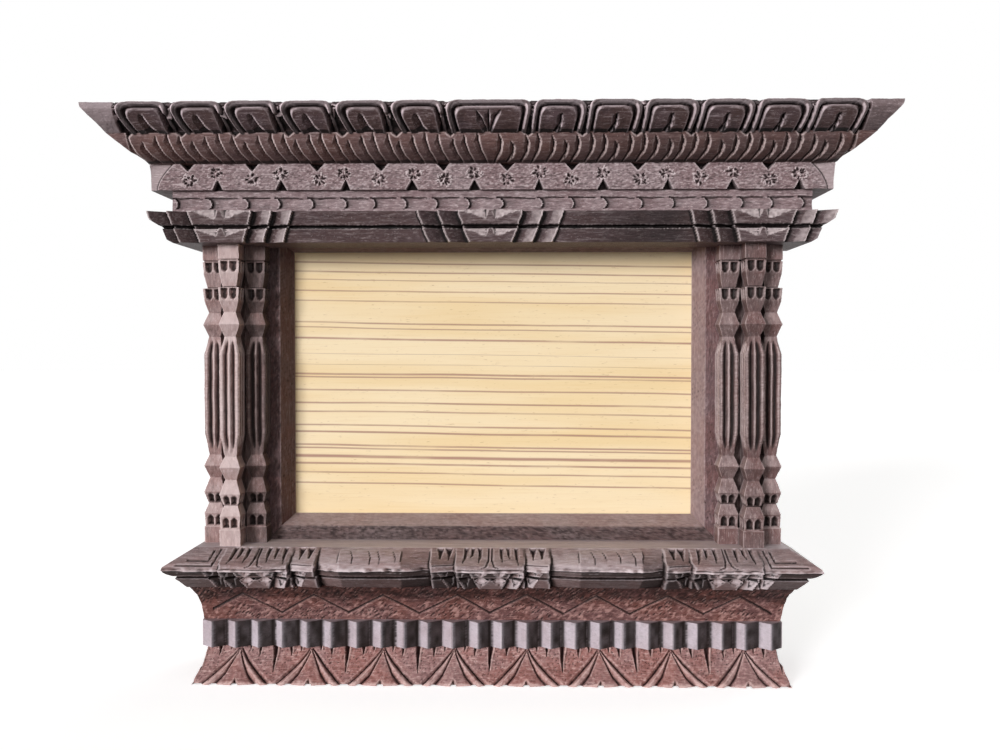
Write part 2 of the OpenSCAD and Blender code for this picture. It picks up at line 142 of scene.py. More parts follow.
def cut_line(x, z, points, widths, depth, steep, gentle, flip=-1.0):
    """V cut along a polyline with a steep and a gentle wall; it is deepest where it is widest.

    Flip -1 puts the steep wall to the right of a line drawn downward, flip 1 to its left.
    """
    h = np.zeros_like(x)
    for i in range(len(points) - 1):
        dist, t, side = seg(x, z, points[i], points[i + 1])
        w = widths[i] + (widths[i + 1] - widths[i]) * t
        reach = np.where(side * flip > 0, steep, gentle) * w
        deep = depth * w / max(widths)
        h = np.minimum(h, -deep * np.clip(1.0 - dist / (reach + 1e-6), 0.0, 1.0))
    return h


def rim_line(x, z, points, widths, steep, breadth):
    """Share of the thin painted highlight along the steep wall of a cut_line with flip -1."""
    share = np.zeros_like(x)
    for i in range(len(points) - 1):
        dist, t, side = seg(x, z, points[i], points[i + 1])
        width = widths[i] + (widths[i + 1] - widths[i]) * t
        w = steep * width
        on = (side < 0) & (dist > 0.35 * w) & (dist < w + breadth)
        share = np.where(on, np.maximum(share, np.clip(width, 0.3, 1)), share)
    return share


def blend_min(a, b, k):
    """Minimum of two fields with a rounded corner of size k."""
    t = np.clip(0.5 + 0.5 * (b - a) / k, 0, 1)
    return b * (1 - t) + a * t - k * t * (1 - t)


def pits(x, z, pitch, radius, depth, seed, keep):
    """Height in small random punch marks, one in each cell of a loose grid; keep is the share of cells used."""
    jitter = np.random.default_rng(seed).random((256, 64, 4))
    ci, cj = np.floor(x / pitch).astype(int), np.floor(z / pitch).astype(int)
    h = np.zeros_like(x)
    for di in (-1, 0, 1):
        for dj in (-1, 0, 1):
            q = jitter[(ci + di) % 256, (cj + dj) % 64]
            px = (ci + di + q[..., 0]) * pitch
            pz = (cj + dj + q[..., 1]) * pitch
            size = radius * (0.5 + 0.8 * q[..., 2])
            cut = vee(np.hypot(x - px, (z - pz) * 1.2), size, depth * (0.5 + q[..., 3]))
            h = np.minimum(h, np.where(q[..., 2] * 0.5 + q[..., 3] * 0.5 < keep, cut, 0.0))
    return h


# ---- profiles

def resample(points, step):
    """Points along a path at an even spacing of about step."""
    p = np.array(points, float)
    s = np.concatenate([[0], np.cumsum(np.hypot(*np.diff(p, axis=0).T))])
    n = max(2, int(round(s[-1] / step)) + 1)
    q = np.linspace(0, s[-1], n)
    return np.stack([np.interp(q, s, p[:, 0]), np.interp(q, s, p[:, 1])], 1)


def soften(path):
    """Rounds the corners of a path, its ends kept."""
    p = path.copy()
    p[1:-1] = 0.25 * path[:-2] + 0.5 * path[1:-1] + 0.25 * path[2:]
    return p


def spline(points):
    """Smooth curve through the points."""
    p = np.array(points, float)
    p = np.vstack([2 * p[0] - p[1], p, 2 * p[-1] - p[-2]])
    out = []
    for a, b, c, d in zip(p, p[1:], p[2:], p[3:]):
        for t in np.linspace(0, 1, 10, endpoint=False):
            out.append(0.5 * (2 * b + (c - a) * t + (2 * a - 5 * b + 4 * c - d) * t * t
                              + (3 * b - a - 3 * c + d) * t ** 3))
    out.append(p[-2])
    return np.array(out)


# ---- meshes

def blur(a, axis, radius):
    """Box blur along one axis, the border repeated."""
    pad = [(0, 0)] * a.ndim
    pad[axis] = (radius + 1, radius)
    c = np.cumsum(np.pad(a, pad, mode="edge"), axis=axis)
    n, span = a.shape[axis], 2 * radius + 1
    return (np.take(c, range(span, span + n), axis=axis) - np.take(c, range(n), axis=axis)) / span


def convexity(p, radius):
    """How far each grid point stands out of its blurred neighbourhood, along its normal."""
    q = p
    for _ in range(2):
        q = blur(blur(q, 0, radius), 1, radius)
    n = np.cross(np.gradient(p, axis=0), np.gradient(p, axis=1))
    n /= np.linalg.norm(n, axis=2, keepdims=True) + 1e-9
    return np.sum((p - q) * n, axis=2)


def edges(p, sign=1.0):
    """Shares of pale edge and of dark hollow at each grid point, from its fine and its wide convexity; the dark hollow
    is painted shade, the pale edge partly rubbing and partly painted highlight.
    """
    fine, wide = sign * convexity(p, 1), sign * convexity(p, 3)
    # pale ridges: partly rubbing, partly painted highlight where edges catch the light
    rubbed_and_lit = np.clip(ramp(fine, 0.06, 0.22) + 0.12 * ramp(wide, 0.25, 0.7), 0, 1)
    # hollow: painted shade in creases and recesses
    hollow = np.clip(0.95 * ramp(-fine, 0.04, 0.18) + 0.75 * ramp(-wide, 0.2, 0.8), 0, 1)
    return rubbed_and_lit, hollow


def add_piece(name, node, material, verts, faces, attributes, sharp):
    """Mesh object in place of a node, from points [x, d, z]; attributes hold a value for each point."""
    v = np.asarray(verts, float)
    co = np.stack([v[:, 0], BACK - v[:, 1], v[:, 2]], 1) * MM
    mesh = bpy.data.meshes.new(name)
    mesh.from_pydata(co.tolist(), [], faces)
    for key, values in attributes.items():
        layer = mesh.attributes.new(key, "FLOAT", "POINT")
        layer.data.foreach_set("value", np.asarray(values, np.float32))
    mesh.polygons.foreach_set("use_smooth", [True] * len(mesh.polygons))
    mesh.set_sharp_from_angle(angle=math.radians(sharp))
    mesh.materials.append(material)
    mesh.update()
    obj = bpy.data.objects.new(name, mesh)
    bpy.context.collection.objects.link(obj)
    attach(obj, "root")
    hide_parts(node)
    return obj


RETURN = 1.2  # depth over which a carved front edge turns into the flat top, underside and ends
END_DROP = 0.2  # drop of the ends behind a level ledge


def close_grid(p, z0, z1):
    """Closes a front grid [rows, cols, 3] to the flat back, with a flat underside at z0 and top at z1."""
    m, n = p.shape[:2]
    idx = np.arange(m * n).reshape(m, n)
    faces = np.stack([idx[:-1, :-1], idx[:-1, 1:], idx[1:, 1:], idx[1:, :-1]], -1).reshape(-1, 4).tolist()
    loop = np.concatenate([idx[0, :-1], idx[:-1, -1], idx[-1, :0:-1], idx[:0:-1, 0]])
    flat = p.reshape(-1, 3)
    near = flat[loop].copy()
    # the rows of a level ledge would close to a line at the ends, so the ends drop a little there
    ledge = np.count_nonzero(p[:, 0, 2] > z1 - 0.02)
    left = np.clip((m - 1 - np.arange(m)) / max(ledge - 1, 1), 0, 1)
    drop = END_DROP * left * ramp(p[:, 0, 2], z1 - 3 * END_DROP, z1) * (ledge > 2)
    near[n - 1:n + m - 2, 2] -= drop[:-1]
    near[2 * n + m - 3:, 2] -= drop[:0:-1]
    near[:n, 2] = z0
    near[n + m - 2:2 * n + m - 2, 2] = z1
    far = near.copy()
    near[:, 1] = np.maximum(near[:, 1] - RETURN, 0.3)
    far[:, 1] = 0.0
    k, base = len(loop), m * n
    for i in range(k):
        j = (i + 1) % k
        faces.append([int(loop[j]), int(loop[i]), base + i, base + j])
        faces.append([base + j, base + i, base + k + i, base + k + j])
    faces.append([base + k + i for i in reversed(range(k))])
    return np.vstack([flat, near, far]), faces


def housing(obj, z0, z1):
    """Cuts the frame's seat, open to the back, out of a closed piece between two heights."""
    behind = -5.0  # the cut starts behind the flat back
    plan = ((-FRAME_OUT, behind), (FRAME_OUT, behind), (FRAME_OUT, FRAME_D), (-FRAME_OUT, FRAME_D))
    corners = [(x, BACK - d, z) for z in (z0, z1) for x, d in plan]
    mesh = bpy.data.meshes.new("seat")
    mesh.from_pydata([[MM * c for c in p] for p in corners], [],
                     [[0, 1, 2, 3], [7, 6, 5, 4], [0, 4, 5, 1], [1, 5, 6, 2], [2, 6, 7, 3], [3, 7, 4, 0]])
    cutter = bpy.data.objects.new("seat", mesh)
    bpy.context.collection.objects.link(cutter)
    cut = obj.modifiers.new("seat", "BOOLEAN")
    cut.operation = "DIFFERENCE"
    cut.object = cutter
    bpy.context.view_layer.update()
    done = bpy.data.meshes.new_from_object(obj.evaluated_get(bpy.context.evaluated_depsgraph_get()))
    obj.modifiers.clear()
    obj.data = done
    bpy.data.objects.remove(cutter)


def carved(name, node, material, grid, tone, sharp=42.0):
    """Carved bar from a front grid of points [rows, cols, (x, d, z)] and its tone."""
    rubbed_and_lit, hollow = edges(grid)
    low, high = box_mm(node)
    verts, faces = close_grid(grid, low[2], high[2])
    plain = np.zeros(len(verts) - tone.size)
    attributes = {key: np.concatenate([values.ravel(), plain])
                  for key, values in (("wear_and_highlight", rubbed_and_lit), ("hollow_shade", hollow), ("tone", tone))}
    return add_piece(name, node, material, verts, faces, attributes, sharp)


def columns(half, extra=(), step=STEP):
    """Column places along x, with given places kept exactly."""
    n = int(round(2 * half / step))
    x = np.linspace(-half, half, n + 1)
    extra = np.asarray(sorted(extra), float)
    if len(extra):
        far = np.min(np.abs(x[:, None] - extra[None, :]), axis=1) > 0.45 * step
        far[0] = far[-1] = True
        x = np.unique(np.concatenate([x[far], extra[np.abs(extra) < half - 0.01]]))
    return x


def bar(name, node, material, path, x, ends, plain, carve):
    """Carved bar: path of (d, z) from foot to top, columns x, half lengths by height (z, half).

    Columns past plain stretch to the slanted ends.
    """
    t = np.gradient(path, axis=0)
    t /= np.linalg.norm(t, axis=1, keepdims=True)
    nd, nz = t[:, 1:], -t[:, :1]
    xx, dd = np.meshgrid(x, path[:, 0])
    zz = np.meshgrid(x, path[:, 1])[1]
    half = np.interp(path[:, 1], *zip(*ends))[:, None]
    stretch = plain + (np.abs(xx) - plain) * (half - plain) / (np.max(np.abs(x)) - plain)
    px = np.where(np.abs(xx) > plain, np.sign(xx) * stretch, xx)
    h, forward, tone = carve(px, zz, dd)
    px = px + 0.10 * noise(zz * 0.3 + 7, xx * 0.05, 91)
    height = np.maximum(zz + h * nz + box_mm(node)[0][2], 0.0)
    return carved(name, node, material, np.stack([px, dd + h * nd + forward, height], 2), tone)


# ---- materials

def feed(tree, value, socket):
    """Links an output to a socket, or sets a plain number or colour on it."""
    if hasattr(value, "is_linked"):
        tree.links.new(value, socket)
    else:
        socket.default_value = (*value, 1.0) if isinstance(value, tuple) else value


def math_node(tree, op, a, b=None):
    """Result of a sum on outputs or numbers."""
    n = tree.nodes.new("ShaderNodeMath")
    n.operation = op
    feed(tree, a, n.inputs[0])
    if b is not None:
        feed(tree, b, n.inputs[1])
    return n.outputs[0]


def mix_node(tree, factor, a, b):
    """Colour between a and b."""
    n = tree.nodes.new("ShaderNodeMix")
    n.data_type = "RGBA"
    for i, v in ((0, factor), (6, a), (7, b)):
        feed(tree, v, n.inputs[i])
    return n.outputs[2]


def ramp_node(tree, value, a, b):
    """Smooth step of an output from 0 at a to 1 at b."""
    n = tree.nodes.new("ShaderNodeMapRange")
    n.interpolation_type = "SMOOTHSTEP"
    n.inputs[1].default_value = a
    n.inputs[2].default_value = b
    tree.links.new(value, n.inputs[0])
    return n.outputs[0]


def stain(tree, col, value, a, b, share, colour):
    """Mixes a share of a colour in where a texture passes from a to b."""
    return mix_node(tree, math_node(tree, "MULTIPLY", ramp_node(tree, value, a, b), share), col, colour)


def attribute(tree, name):
    """Value stored at the points of the mesh."""
    n = tree.nodes.new("ShaderNodeAttribute")
    n.attribute_name = name
    return n.outputs["Fac"]


def texture(tree, coords, scale, detail, rough, distortion=0.0):
    """Noise with its own scale along each axis, in waves per metre."""
    n = tree.nodes.new("ShaderNodeTexNoise")
    for key, value in (("Scale", 1.0), ("Detail", detail), ("Roughness", rough), ("Distortion", distortion)):
        n.inputs[key].default_value = value
    m = tree.nodes.new("ShaderNodeMapping")
    m.inputs["Scale"].default_value = scale
    tree.links.new(coords, m.inputs[0])
    tree.links.new(m.outputs[0], n.inputs["Vector"])
    return n.outputs[0]


def lin(r, g, b):
    """Linear colour from 0-255 display values."""
    return tuple(((c / 255 + 0.055) / 1.055) ** 2.4 if c > 10 else c / 255 / 12.92 for c in (r, g, b))


def new_material(name):
    """Material with its node tree and shader."""
    mat = bpy.data.materials.new(name)
    mat.use_nodes = True
    tree = mat.node_tree
    return mat, tree, tree.nodes["Principled BSDF"]


def coat(tree, bsdf, col, rough, height, strength, distance):
    """Links colour, roughness and bump to the shader."""
    bump = tree.nodes.new("ShaderNodeBump")
    bump.inputs["Strength"].default_value = strength
    bump.inputs["Distance"].default_value = distance
    tree.links.new(height, bump.inputs["Height"])
    for output, key in ((col, "Base Color"), (rough, "Roughness"), (bump.outputs[0], "Normal")):
        tree.links.new(output, bsdf.inputs[key])


def wood(name, base, deep, pale, red, pale_edge_share, tear, along="X"):
    """Carved hardwood from display colours: grain along one axis, hollows darkened as painted shade, pale edges that
    are partly rubbing and partly painted highlight, and a tone that mixes in painted light and shade besides random
    variation.
    """
    base, deep, pale, red = (lin(*c) for c in (base, deep, pale, red))
    mat, t, bsdf = new_material(name)
    co = t.nodes.new("ShaderNodeTexCoord").outputs["Object"]
    bsdf.inputs["Specular IOR Level"].default_value = 0.16
    grain_s, fine_s, torn_s = (80, 1000, 1000), (420, 3000, 3000), (330, 1100, 1500)
    if along == "Z":
        grain_s, fine_s, torn_s = grain_s[::-1], fine_s[::-1], torn_s[::-1]
    grain = texture(t, co, grain_s, 5, 0.65, 0.6)
    fine = texture(t, co, fine_s, 3, 0.6)
    cloud = texture(t, co, (48, 48, 60), 4, 0.6)
    speck = texture(t, co, (1300, 1300, 1300), 3, 0.7)
    torn = texture(t, co, torn_s, 4, 0.75)
    col = mix_node(t, ramp_node(t, cloud, 0.38, 0.62), base, red)
    for value, a, b, share, colour in ((grain, 0.50, 0.72, 0.42, deep), (grain, 0.47, 0.25, 0.26, pale),
                                       (fine, 0.60, 0.72, 0.55, deep), (speck, 0.62, 0.75, 0.40, pale),
                                       (torn, 0.54, 0.68, tear, deep), (torn, 0.46, 0.34, tear, pale)):
        col = stain(t, col, value, a, b, share, colour)
    # the tone mixes in pale as painted highlight and deep as painted shade, besides random variation
    tone = attribute(t, "tone")
    col = mix_node(t, math_node(t, "MAXIMUM", tone, 0.0), col, pale)
    col = mix_node(t, math_node(t, "MAXIMUM", math_node(t, "MULTIPLY", tone, -1.0), 0.0), col, deep)
    # pale edges: partly wear, partly painted highlight
    wear_and_highlight = math_node(t, "MULTIPLY", attribute(t, "wear_and_highlight"), math_node(t, "ADD", 0.35, speck))
    col = mix_node(t, math_node(t, "MINIMUM", math_node(t, "MULTIPLY", wear_and_highlight, pale_edge_share), 0.95), col, pale)
    # painted shade in the hollows
    col = mix_node(t, math_node(t, "MINIMUM", attribute(t, "hollow_shade"), 0.94), col, deep)
    rough = math_node(t, "ADD", 0.38, math_node(t, "MULTIPLY", fine, 0.3))
    height = math_node(t, "ADD", torn, math_node(t, "MULTIPLY", speck, 0.7))
    coat(t, bsdf, col, rough, height, 0.6, 0.0003)
    return mat


# colours: wood, deep for hollows and painted shade, pale for rubbing and painted highlights, reddish clouds; then the
# shares of the pale edges (wear and painted highlight) and of torn grain
CROWN = wood("crown_wood", (84, 68, 71), (9, 5, 5), (222, 205, 209), (78, 60, 59), 0.25, 0.2)
LEAF = wood("leaf_wood", (108, 85, 84), (16, 9, 9), (228, 208, 206), (110, 82, 78), 0.6, 0.2)
BAND = wood("band_wood", (138, 120, 122), (32, 22, 22), (212, 198, 199), (127, 105, 107), 0.5, 0.5)
LINTEL = wood("lintel_wood", (81, 65, 67), (12, 7, 7), (214, 200, 200), (78, 60, 60), 0.75, 0.18)
# the left post's wood is a paler, lit copy and the right post's a darker, shaded copy: painted light and shade
LIT_POST = wood("lit_left_post_wood", (156, 133, 131), (26, 18, 17), (226, 208, 206), (144, 113, 109), 0.65, 0.3, "Z")
SHADED_POST = wood("shaded_right_post_wood", (122, 102, 101), (22, 15, 14), (214, 196, 194), (114, 86, 84), 0.65, 0.3, "Z")
JAMB = wood("jamb_wood", (112, 88, 90), (30, 20, 18), (196, 178, 178), (114, 82, 81), 0.6, 0.25, "Z")
RAIL = wood("rail_wood", (138, 118, 117), (30, 20, 19), (198, 182, 181), (130, 104, 102), 0.6, 0.3)
SILL = wood("sill_wood", (142, 124, 124), (20, 13, 12), (218, 205, 208), (138, 113, 111), 0.45, 0.25)
FRIEZE = wood("frieze_wood", (102, 70, 69), (20, 10, 9), (208, 166, 158), (110, 70, 64), 0.5, 0.5)
BASE = wood("base_wood", (150, 114, 112), (32, 17, 16), (230, 200, 194), (152, 104, 98), 0.55, 0.5)
TEETH = wood("teeth_wood", (172, 160, 166), (24, 16, 12), (226, 217, 226), (158, 140, 144), 0.35, 0.12)

# growth lines of the board: height and half width
BOARD_LINES = [(171.0, .5), (167.1, .5), (163.7, .35), (159.0, .45), (154.7, .4), (145.3, .5), (143.1, .4), (138.4, .6),
               (132.0, .2), (127.5, .2), (123.4, .6), (122.1, .5), (116.5, .5), (110.9, .55), (107.1, .5), (101.1, .5),
               (98.1, .6), (92.5, .55), (91.2, .5), (87.8, .9), (84.8, .6), (80.9, .5), (76.2, .5)]
LINE_SHIFT = 1.2  # all lines sit this much lower
LINE_SLANT = 14.0  # fall of the lines to the right, mm per metre


def board():
    """Pale softwood board with thin brown growth lines running along x."""
    mat, t, bsdf = new_material("pale_board")
    co = t.nodes.new("ShaderNodeTexCoord").outputs["Object"]
    parts = t.nodes.new("ShaderNodeSeparateXYZ")
    t.links.new(co, parts.inputs[0])
    wobble = math_node(t, "MULTIPLY", math_node(t, "SUBTRACT", texture(t, co, (12, 12, 40), 2, 0.5), 0.5), 1.6)
    z = math_node(t, "MULTIPLY", parts.outputs[2], METRE)
    z = math_node(t, "ADD", z, math_node(t, "MULTIPLY", parts.outputs[0], LINE_SLANT))
    z = math_node(t, "ADD", z, wobble)
    lines = None
    for place, width in BOARD_LINES:
        off = math_node(t, "ABSOLUTE", math_node(t, "SUBTRACT", z, place - LINE_SHIFT))
        line = math_node(t, "MULTIPLY", ramp_node(t, off, width * 1.1, width * 0.25), min(1.0, 0.35 + width))
        lines = line if lines is None else math_node(t, "MAXIMUM", lines, line)
    fibre = texture(t, co, (40, 500, 2600), 4, 0.65)
    broad = texture(t, co, (8, 8, 90), 3, 0.5)
    fleck = texture(t, co, (300, 1200, 1800), 3, 0.7)
    breaks = ramp_node(t, texture(t, co, (25, 25, 300), 3, 0.6), 0.25, 0.55)
    strength = math_node(t, "ADD", 0.45, math_node(t, "MULTIPLY", breaks, 0.4))
    col = mix_node(t, ramp_node(t, broad, 0.35, 0.7), lin(233, 214, 177), lin(227, 202, 155))
    col = stain(t, col, fibre, 0.5, 0.8, 0.35, lin(212, 176, 122))
    col = mix_node(t, math_node(t, "MULTIPLY", lines, strength), col, lin(150, 106, 92))
    col = stain(t, col, fleck, 0.62, 0.74, 0.45, lin(160, 120, 84))
    rough = math_node(t, "ADD", 0.5, math_node(t, "MULTIPLY", fibre, 0.25))
    coat(t, bsdf, col, rough, fibre, 0.35, 0.0002)
    return mat


# ---- crown of lotus petals

CROWN_STEP, ROW_STEP = 0.32, 0.36  # mesh spacing along and across the crown
SIDE_PETALS = 6
PETAL_MID = 0.107 * LEAF_HALF + 0.6  # half width of the middle petal
PETAL_W = (LEAF_HALF - 6.5 - PETAL_MID) / SIDE_PETALS
PETALS = [(0.0, PETAL_MID)] + [(s * (PETAL_MID + (i + 0.5) * PETAL_W), PETAL_W / 2)
                               for i in range(SIDE_PETALS) for s in (-1, 1)]
PETALS_END = PETALS[-1][0] + PETAL_W / 2
# by the distance in from a petal's edge: height of cord, groove and pad with a rim; painted light on the left side,
# the right side and the top: highlights where an edge faces left or up, shade in the grooves and where it faces right
CORD = ((-0.1, 0, 0.22, 0.5, 1.1, 1.75, 2.05, 2.45, 2.95, 3.25, 3.55, 4.0, 5.5, 9),
        (-2.4, -1.6, 0.1, 0.7, 0.85, 0.6, 0.1, -1.7, -1.7, -0.1, 0.75, 0.6, 0.35, 0.55))
LEFT_PAINTED_LIGHT = ((0, 0.1, 0.7, 1.0, 1.8, 2.1, 3.1, 3.25, 3.7, 4.0),
             (-0.8, 0.95, 0.8, -0.75, -0.8, -0.9, -0.9, 0.9, 0.7, -0.35))
RIGHT_PAINTED_LIGHT = ((0, 0.3, 1.1, 1.35, 1.95, 2.2, 3.1, 3.4, 4.0),
              (-0.8, -0.7, -0.45, 0.9, 0.8, -0.9, -0.9, -0.6, -0.4))
TOP_PAINTED_LIGHT = ((0, 0.2, 0.9, 1.2, 1.9, 2.2, 3.1, 3.35, 4.0, 4.4),
            (-0.2, 0.35, 0.2, -0.55, -0.75, -0.9, -0.9, 0.25, 0.1, -0.3))
# comma cuts of the left, middle and right petals: (x from the centre, share of the height), widths, breadth of the
# painted highlight on the steep wall
COMMAS = {-1: [(((-0.2, 0.50), (0.2, 0.36), (1.4, 0.15), (3.4, 0.0)), (0.25, 1.2, 1.3, 0.9), 0.55)],
          0: [(((k * 4.4, 0.60), (k * 2.6, 0.36), (k * 1.0, 0.08)), (0.3, 1.0, 0.6), 0.3) for k in (-1, 0.05, 1)],
          1: [(((0.0, 0.52), (0.7, 0.36), (0.4, 0.18), (-1.8, 0.0)), (0.2, 0.9, 0.8, 0.4), 0.3)]}
STEEP = 0.30  # reach of a comma's steep wall per width


def lotus_carve(x, z, d):
    """Row of petals with a cord, a pad and a comma cut; chips in the gaps between them, plain wings at the ends."""
    rand = np.random.default_rng(5)
    v = np.clip(z / LOTUS_H, 0, 1)
    chips = ramp(noise(x * 1.1, z * 0.9, 13), 0.15, 0.4) * ramp(v, 0.15, 0.4)
    fill = ramp(v, 0.72, 0.93)
    h = -2.4 + 1.5 * chips + 2.1 * fill * (1 - chips)
    # painted shade in the deep gaps between the petals, less on the chips and near the top
    tone = -0.85 + 1.5 * chips + 0.15 * fill
    lean_out, lean_in = 3.9 * (1 - v) ** 1.8, 1.2 * (1 - v) ** 1.4
    for c, half in PETALS:
        s = int(np.sign(c))
        u = (x - c) * (-s if s else 1.0) + half + rand.uniform(-0.3, 0.3)
        top = (LOTUS_H - 0.15 + rand.uniform(-0.15, 0.1) - z) * 1.35
        if s:
            outer, inner = u - 0.2 - lean_out * (1.0 if s < 0 else 0.45), 2 * half - 1.3 + lean_in - u
        else:
            outer, inner = u - 0.4 - 0.5 * lean_out, 2 * half - 0.4 - 0.5 * lean_out - u
        e = blend_min(blend_min(outer, top, 5.2), inner * (1.15 if s else 1.0), 4.0) + 0.45
        body = np.interp(e, *CORD)
        # painted highlight and shade on the petal's sides and top
        upright = np.where(x < c, np.interp(e, *LEFT_PAINTED_LIGHT), np.interp(e, *RIGHT_PAINTED_LIGHT))
        crest = ramp(np.minimum(outer, inner) - top, -1.0, 1.0)
        shade = np.interp(e, *TOP_PAINTED_LIGHT) * crest + upright * (1 - crest)
        # painted highlight near the top of the pad
        shade = shade + 0.30 * ramp(top, 5.2, 4.2) * (e > 3.9) * ramp(noise(x * 0.5, z * 1.5, 14), -0.5, 0.3)
        # left petals: the far cord sinks and takes painted shade in its lower part
        if s < 0:
            far = (inner < outer) & (e < 2.6)
            body = np.where(far, body - 1.9 * ramp(v, 0.62, 0.42), body)
            shade = np.where(far, shade - 0.8 * ramp(v, 0.66, 0.46), shade)
        # painted shade on the right side of the pad
        if s:
            shade = shade - 0.35 * ramp(x - c, 0.35 * half, 0.7 * half) * (e > 3.3)
        # painted shade growing towards the bottom, where the pad turns down
        shade = np.where(e > 4.0, shade - 0.45 * ramp(v, 0.5, 0.05), shade - 0.12 * ramp(v, 0.8, 0.2))
        for points, widths, breadth in COMMAS[s]:
            line = [(c + px, share * LOTUS_H) for px, share in points]
            cut = cut_line(x, z, line, widths, 2.6, STEEP, 2.1)
            body = np.where(cut < -0.05, np.minimum(body, cut + 0.4), body)
            # painted shade on the comma's gentle wall, painted highlight on its steep wall
            shade = np.where(cut < -0.3, np.minimum(shade, -0.9), shade)
            rim = 0.9 * rim_line(x, z, line, widths, STEEP, breadth)
            shade = np.where(e > 2.4, np.maximum(shade, rim), shade)
        take = (e > 1.9) | ((e > 0) & (body > h))
        h = np.where(take, body, h)
        tone = np.where(take, shade, tone)
    # painted shade in the crease along the foot, and a little on the right half
    tone = np.where(z < 0.9, -0.9, tone) - 0.12 * ramp(x, 0, 60)
    plain = ramp(np.abs(x), PETALS_END + 0.2, PETALS_END + 0.9)
    h = h * (1 - plain) + tooling(x, z, (0.12, 0.35, 0.6, 11), (0.07, 1.4, 1.6, 12))
    # the plain left wing is paler than the right: painted light from the left
    return h, np.zeros_like(x), tone * (1 - plain) + np.where(x < 0, 0.32, 0.12) * plain


path = soften(resample(spline([(LEAF_D, 0), (LEAF_D + 5.0, 2.9), (LOTUS_D - 0.5, 6.4), (LOTUS_D, 8.2),
                               (LOTUS_D - 0.9, LOTUS_H)]), ROW_STEP))
ends = [(0, LEAF_HALF), (0.3 * LOTUS_H, LEAF_HALF + 0.26 * (LOTUS_TIP - LEAF_HALF)),
        (LOTUS_H - 1.9, LOTUS_TIP - 0.8), (LOTUS_H, LOTUS_TIP)]
bar("crown_lotus_carving", "crown_lotus", CROWN, path, columns(LOTUS_TIP, step=CROWN_STEP), ends,
    LEAF_HALF - 4, lotus_carve)

# ---- lower crown moulding with curved ridges

LEAF_FOOT = NOTCH_HALF + 0.4  # half length at the foot
RIDGES = 28
RIDGE_PITCH = (LEAF_FOOT - 1.5) / (RIDGES - 1)
RIDGE_TOPS = (0.97, 0.86, 0.66, 0.88)
RIDGE_W = (0.35, 1.0, 0.75, 0.35)


def leaf_carve(x, z, d):
    """Curved ridges of changing height, with notches below the joints of the petals; the cuts and notches take painted
    shade, the ridges' steep walls painted highlights.
    """
    rand = np.random.default_rng(6)
    h = np.zeros_like(x)
    # painted highlight along the top edge
    tone = 0.22 * ramp(z, LEAF_H - 0.7, LEAF_H - 0.3)
    for i in range(RIDGES):
        for s in (-1, 1):
            c = (i + 0.5) * RIDGE_PITCH + 1.6 + rand.uniform(-0.45, 0.45)
            top = LEAF_H * min(RIDGE_TOPS[(i + (s > 0)) % 4] + rand.uniform(-0.06, 0.04), 0.97)
            line = [(-c - 0.3, top), (-c - 0.1, 0.66 * top), (1.0 - c, 0.30 * top), (3.0 - c, 0.05)]
            if s > 0:
                line = [(c - 0.3, top), (c + 0.6, 0.64 * top), (c + 0.2, 0.32 * top), (c - 2.1, 0.05)]
            cut = cut_line(x, z, line, RIDGE_W, rand.uniform(1.6, 2.0), STEEP, 1.8)
            h = np.minimum(h, cut)
            # painted shade in the cut, painted highlight along its steep wall
            tone = np.where(cut < -0.4, -0.65, tone)
            tone = np.maximum(tone, 0.95 * rim_line(x, z, line, RIDGE_W, STEEP, 0.55))
    for i in range(SIDE_PETALS + 1):
        for s in (-1, 1):
            c = s * (PETAL_MID + i * PETAL_W) - s * 1.5
            drop = 1.6 - np.abs(x - c) * 0.75 - (LEAF_H - z)
            h = np.minimum(h, -2.0 * np.clip(drop * 2.5, 0, 1))
            # painted shade in the notch
            tone = np.where(drop > 0.1, -0.9, tone)
    side = np.abs(x) < LEAF_FOOT + 3.4
    h, tone = np.where(side, h, 0.0), np.where(side, tone, 0.05)
    h = h + tooling(x, z, (0.12, 0.4, 0.5, 21), (0.06, 1.6, 1.6, 22))
    # painted shade on the right half and in the crease at the foot
    tone = tone - 0.06 - 0.32 * ramp(x, -20, 70) - 0.9 * ramp(z, 0.8, 0.4)
    return h, np.zeros_like(x), np.clip(tone, -0.9, 0.9)


fall = LEAF_D - NOTCH_D - 1
path = soften(resample(spline([(NOTCH_D + 1, 0), (NOTCH_D + 1 + 0.56 * fall, 0.28 * LEAF_H),
                               (LEAF_D - 0.12 * fall, 0.65 * LEAF_H), (LEAF_D, LEAF_H)]), ROW_STEP))
bar("crown_leaf_carving", "crown_leaf", LEAF, path, columns(LEAF_HALF, step=CROWN_STEP),
    [(0, LEAF_FOOT), (LEAF_H, LEAF_HALF)], LEAF_FOOT - 3, leaf_carve)

# ---- notched band

NOTCHES = 10
NOTCH_PITCH = (2 * NOTCH_HALF - 16) / NOTCHES
UNCUT, BURR = 9.0, 8.0  # heights that stand for no cut and for a star's burrs
SQUASH = 0.85  # height of a star per width


def star(x, z, cx, cz, rand):
    """Small star of short chisel stabs: their height, BURR between them and UNCUT around."""
    h = np.full_like(x, UNCUT)
    near = (np.abs(x - cx) < 4) & (np.abs(z - cz) < 4)
    xs, zs = x[near], z[near]
    cut = np.full_like(xs, UNCUT)
    for k in range(10):
        a = 2 * math.pi * (k + rand.uniform(-0.45, 0.45)) / 10
        r0, r1 = rand.uniform(0.3, 1.9), rand.uniform(1.7, 3.4)
        p, q = ((cx + r * math.cos(a), cz + SQUASH * r * math.sin(a)) for r in (r0, r1))
        stab = gouge(xs, zs, p, q, rand.uniform(0.4, 0.65), rand.uniform(0.7, 1.2))
        cut = np.where(stab < 0, np.minimum(cut, stab), cut)
    disc = np.hypot(xs - cx, (zs - cz) / SQUASH) < 3.1 + 0.9 * noise(xs, zs, 38)
    h[near] = np.where((cut > BURR) & disc, BURR, cut)
    return h


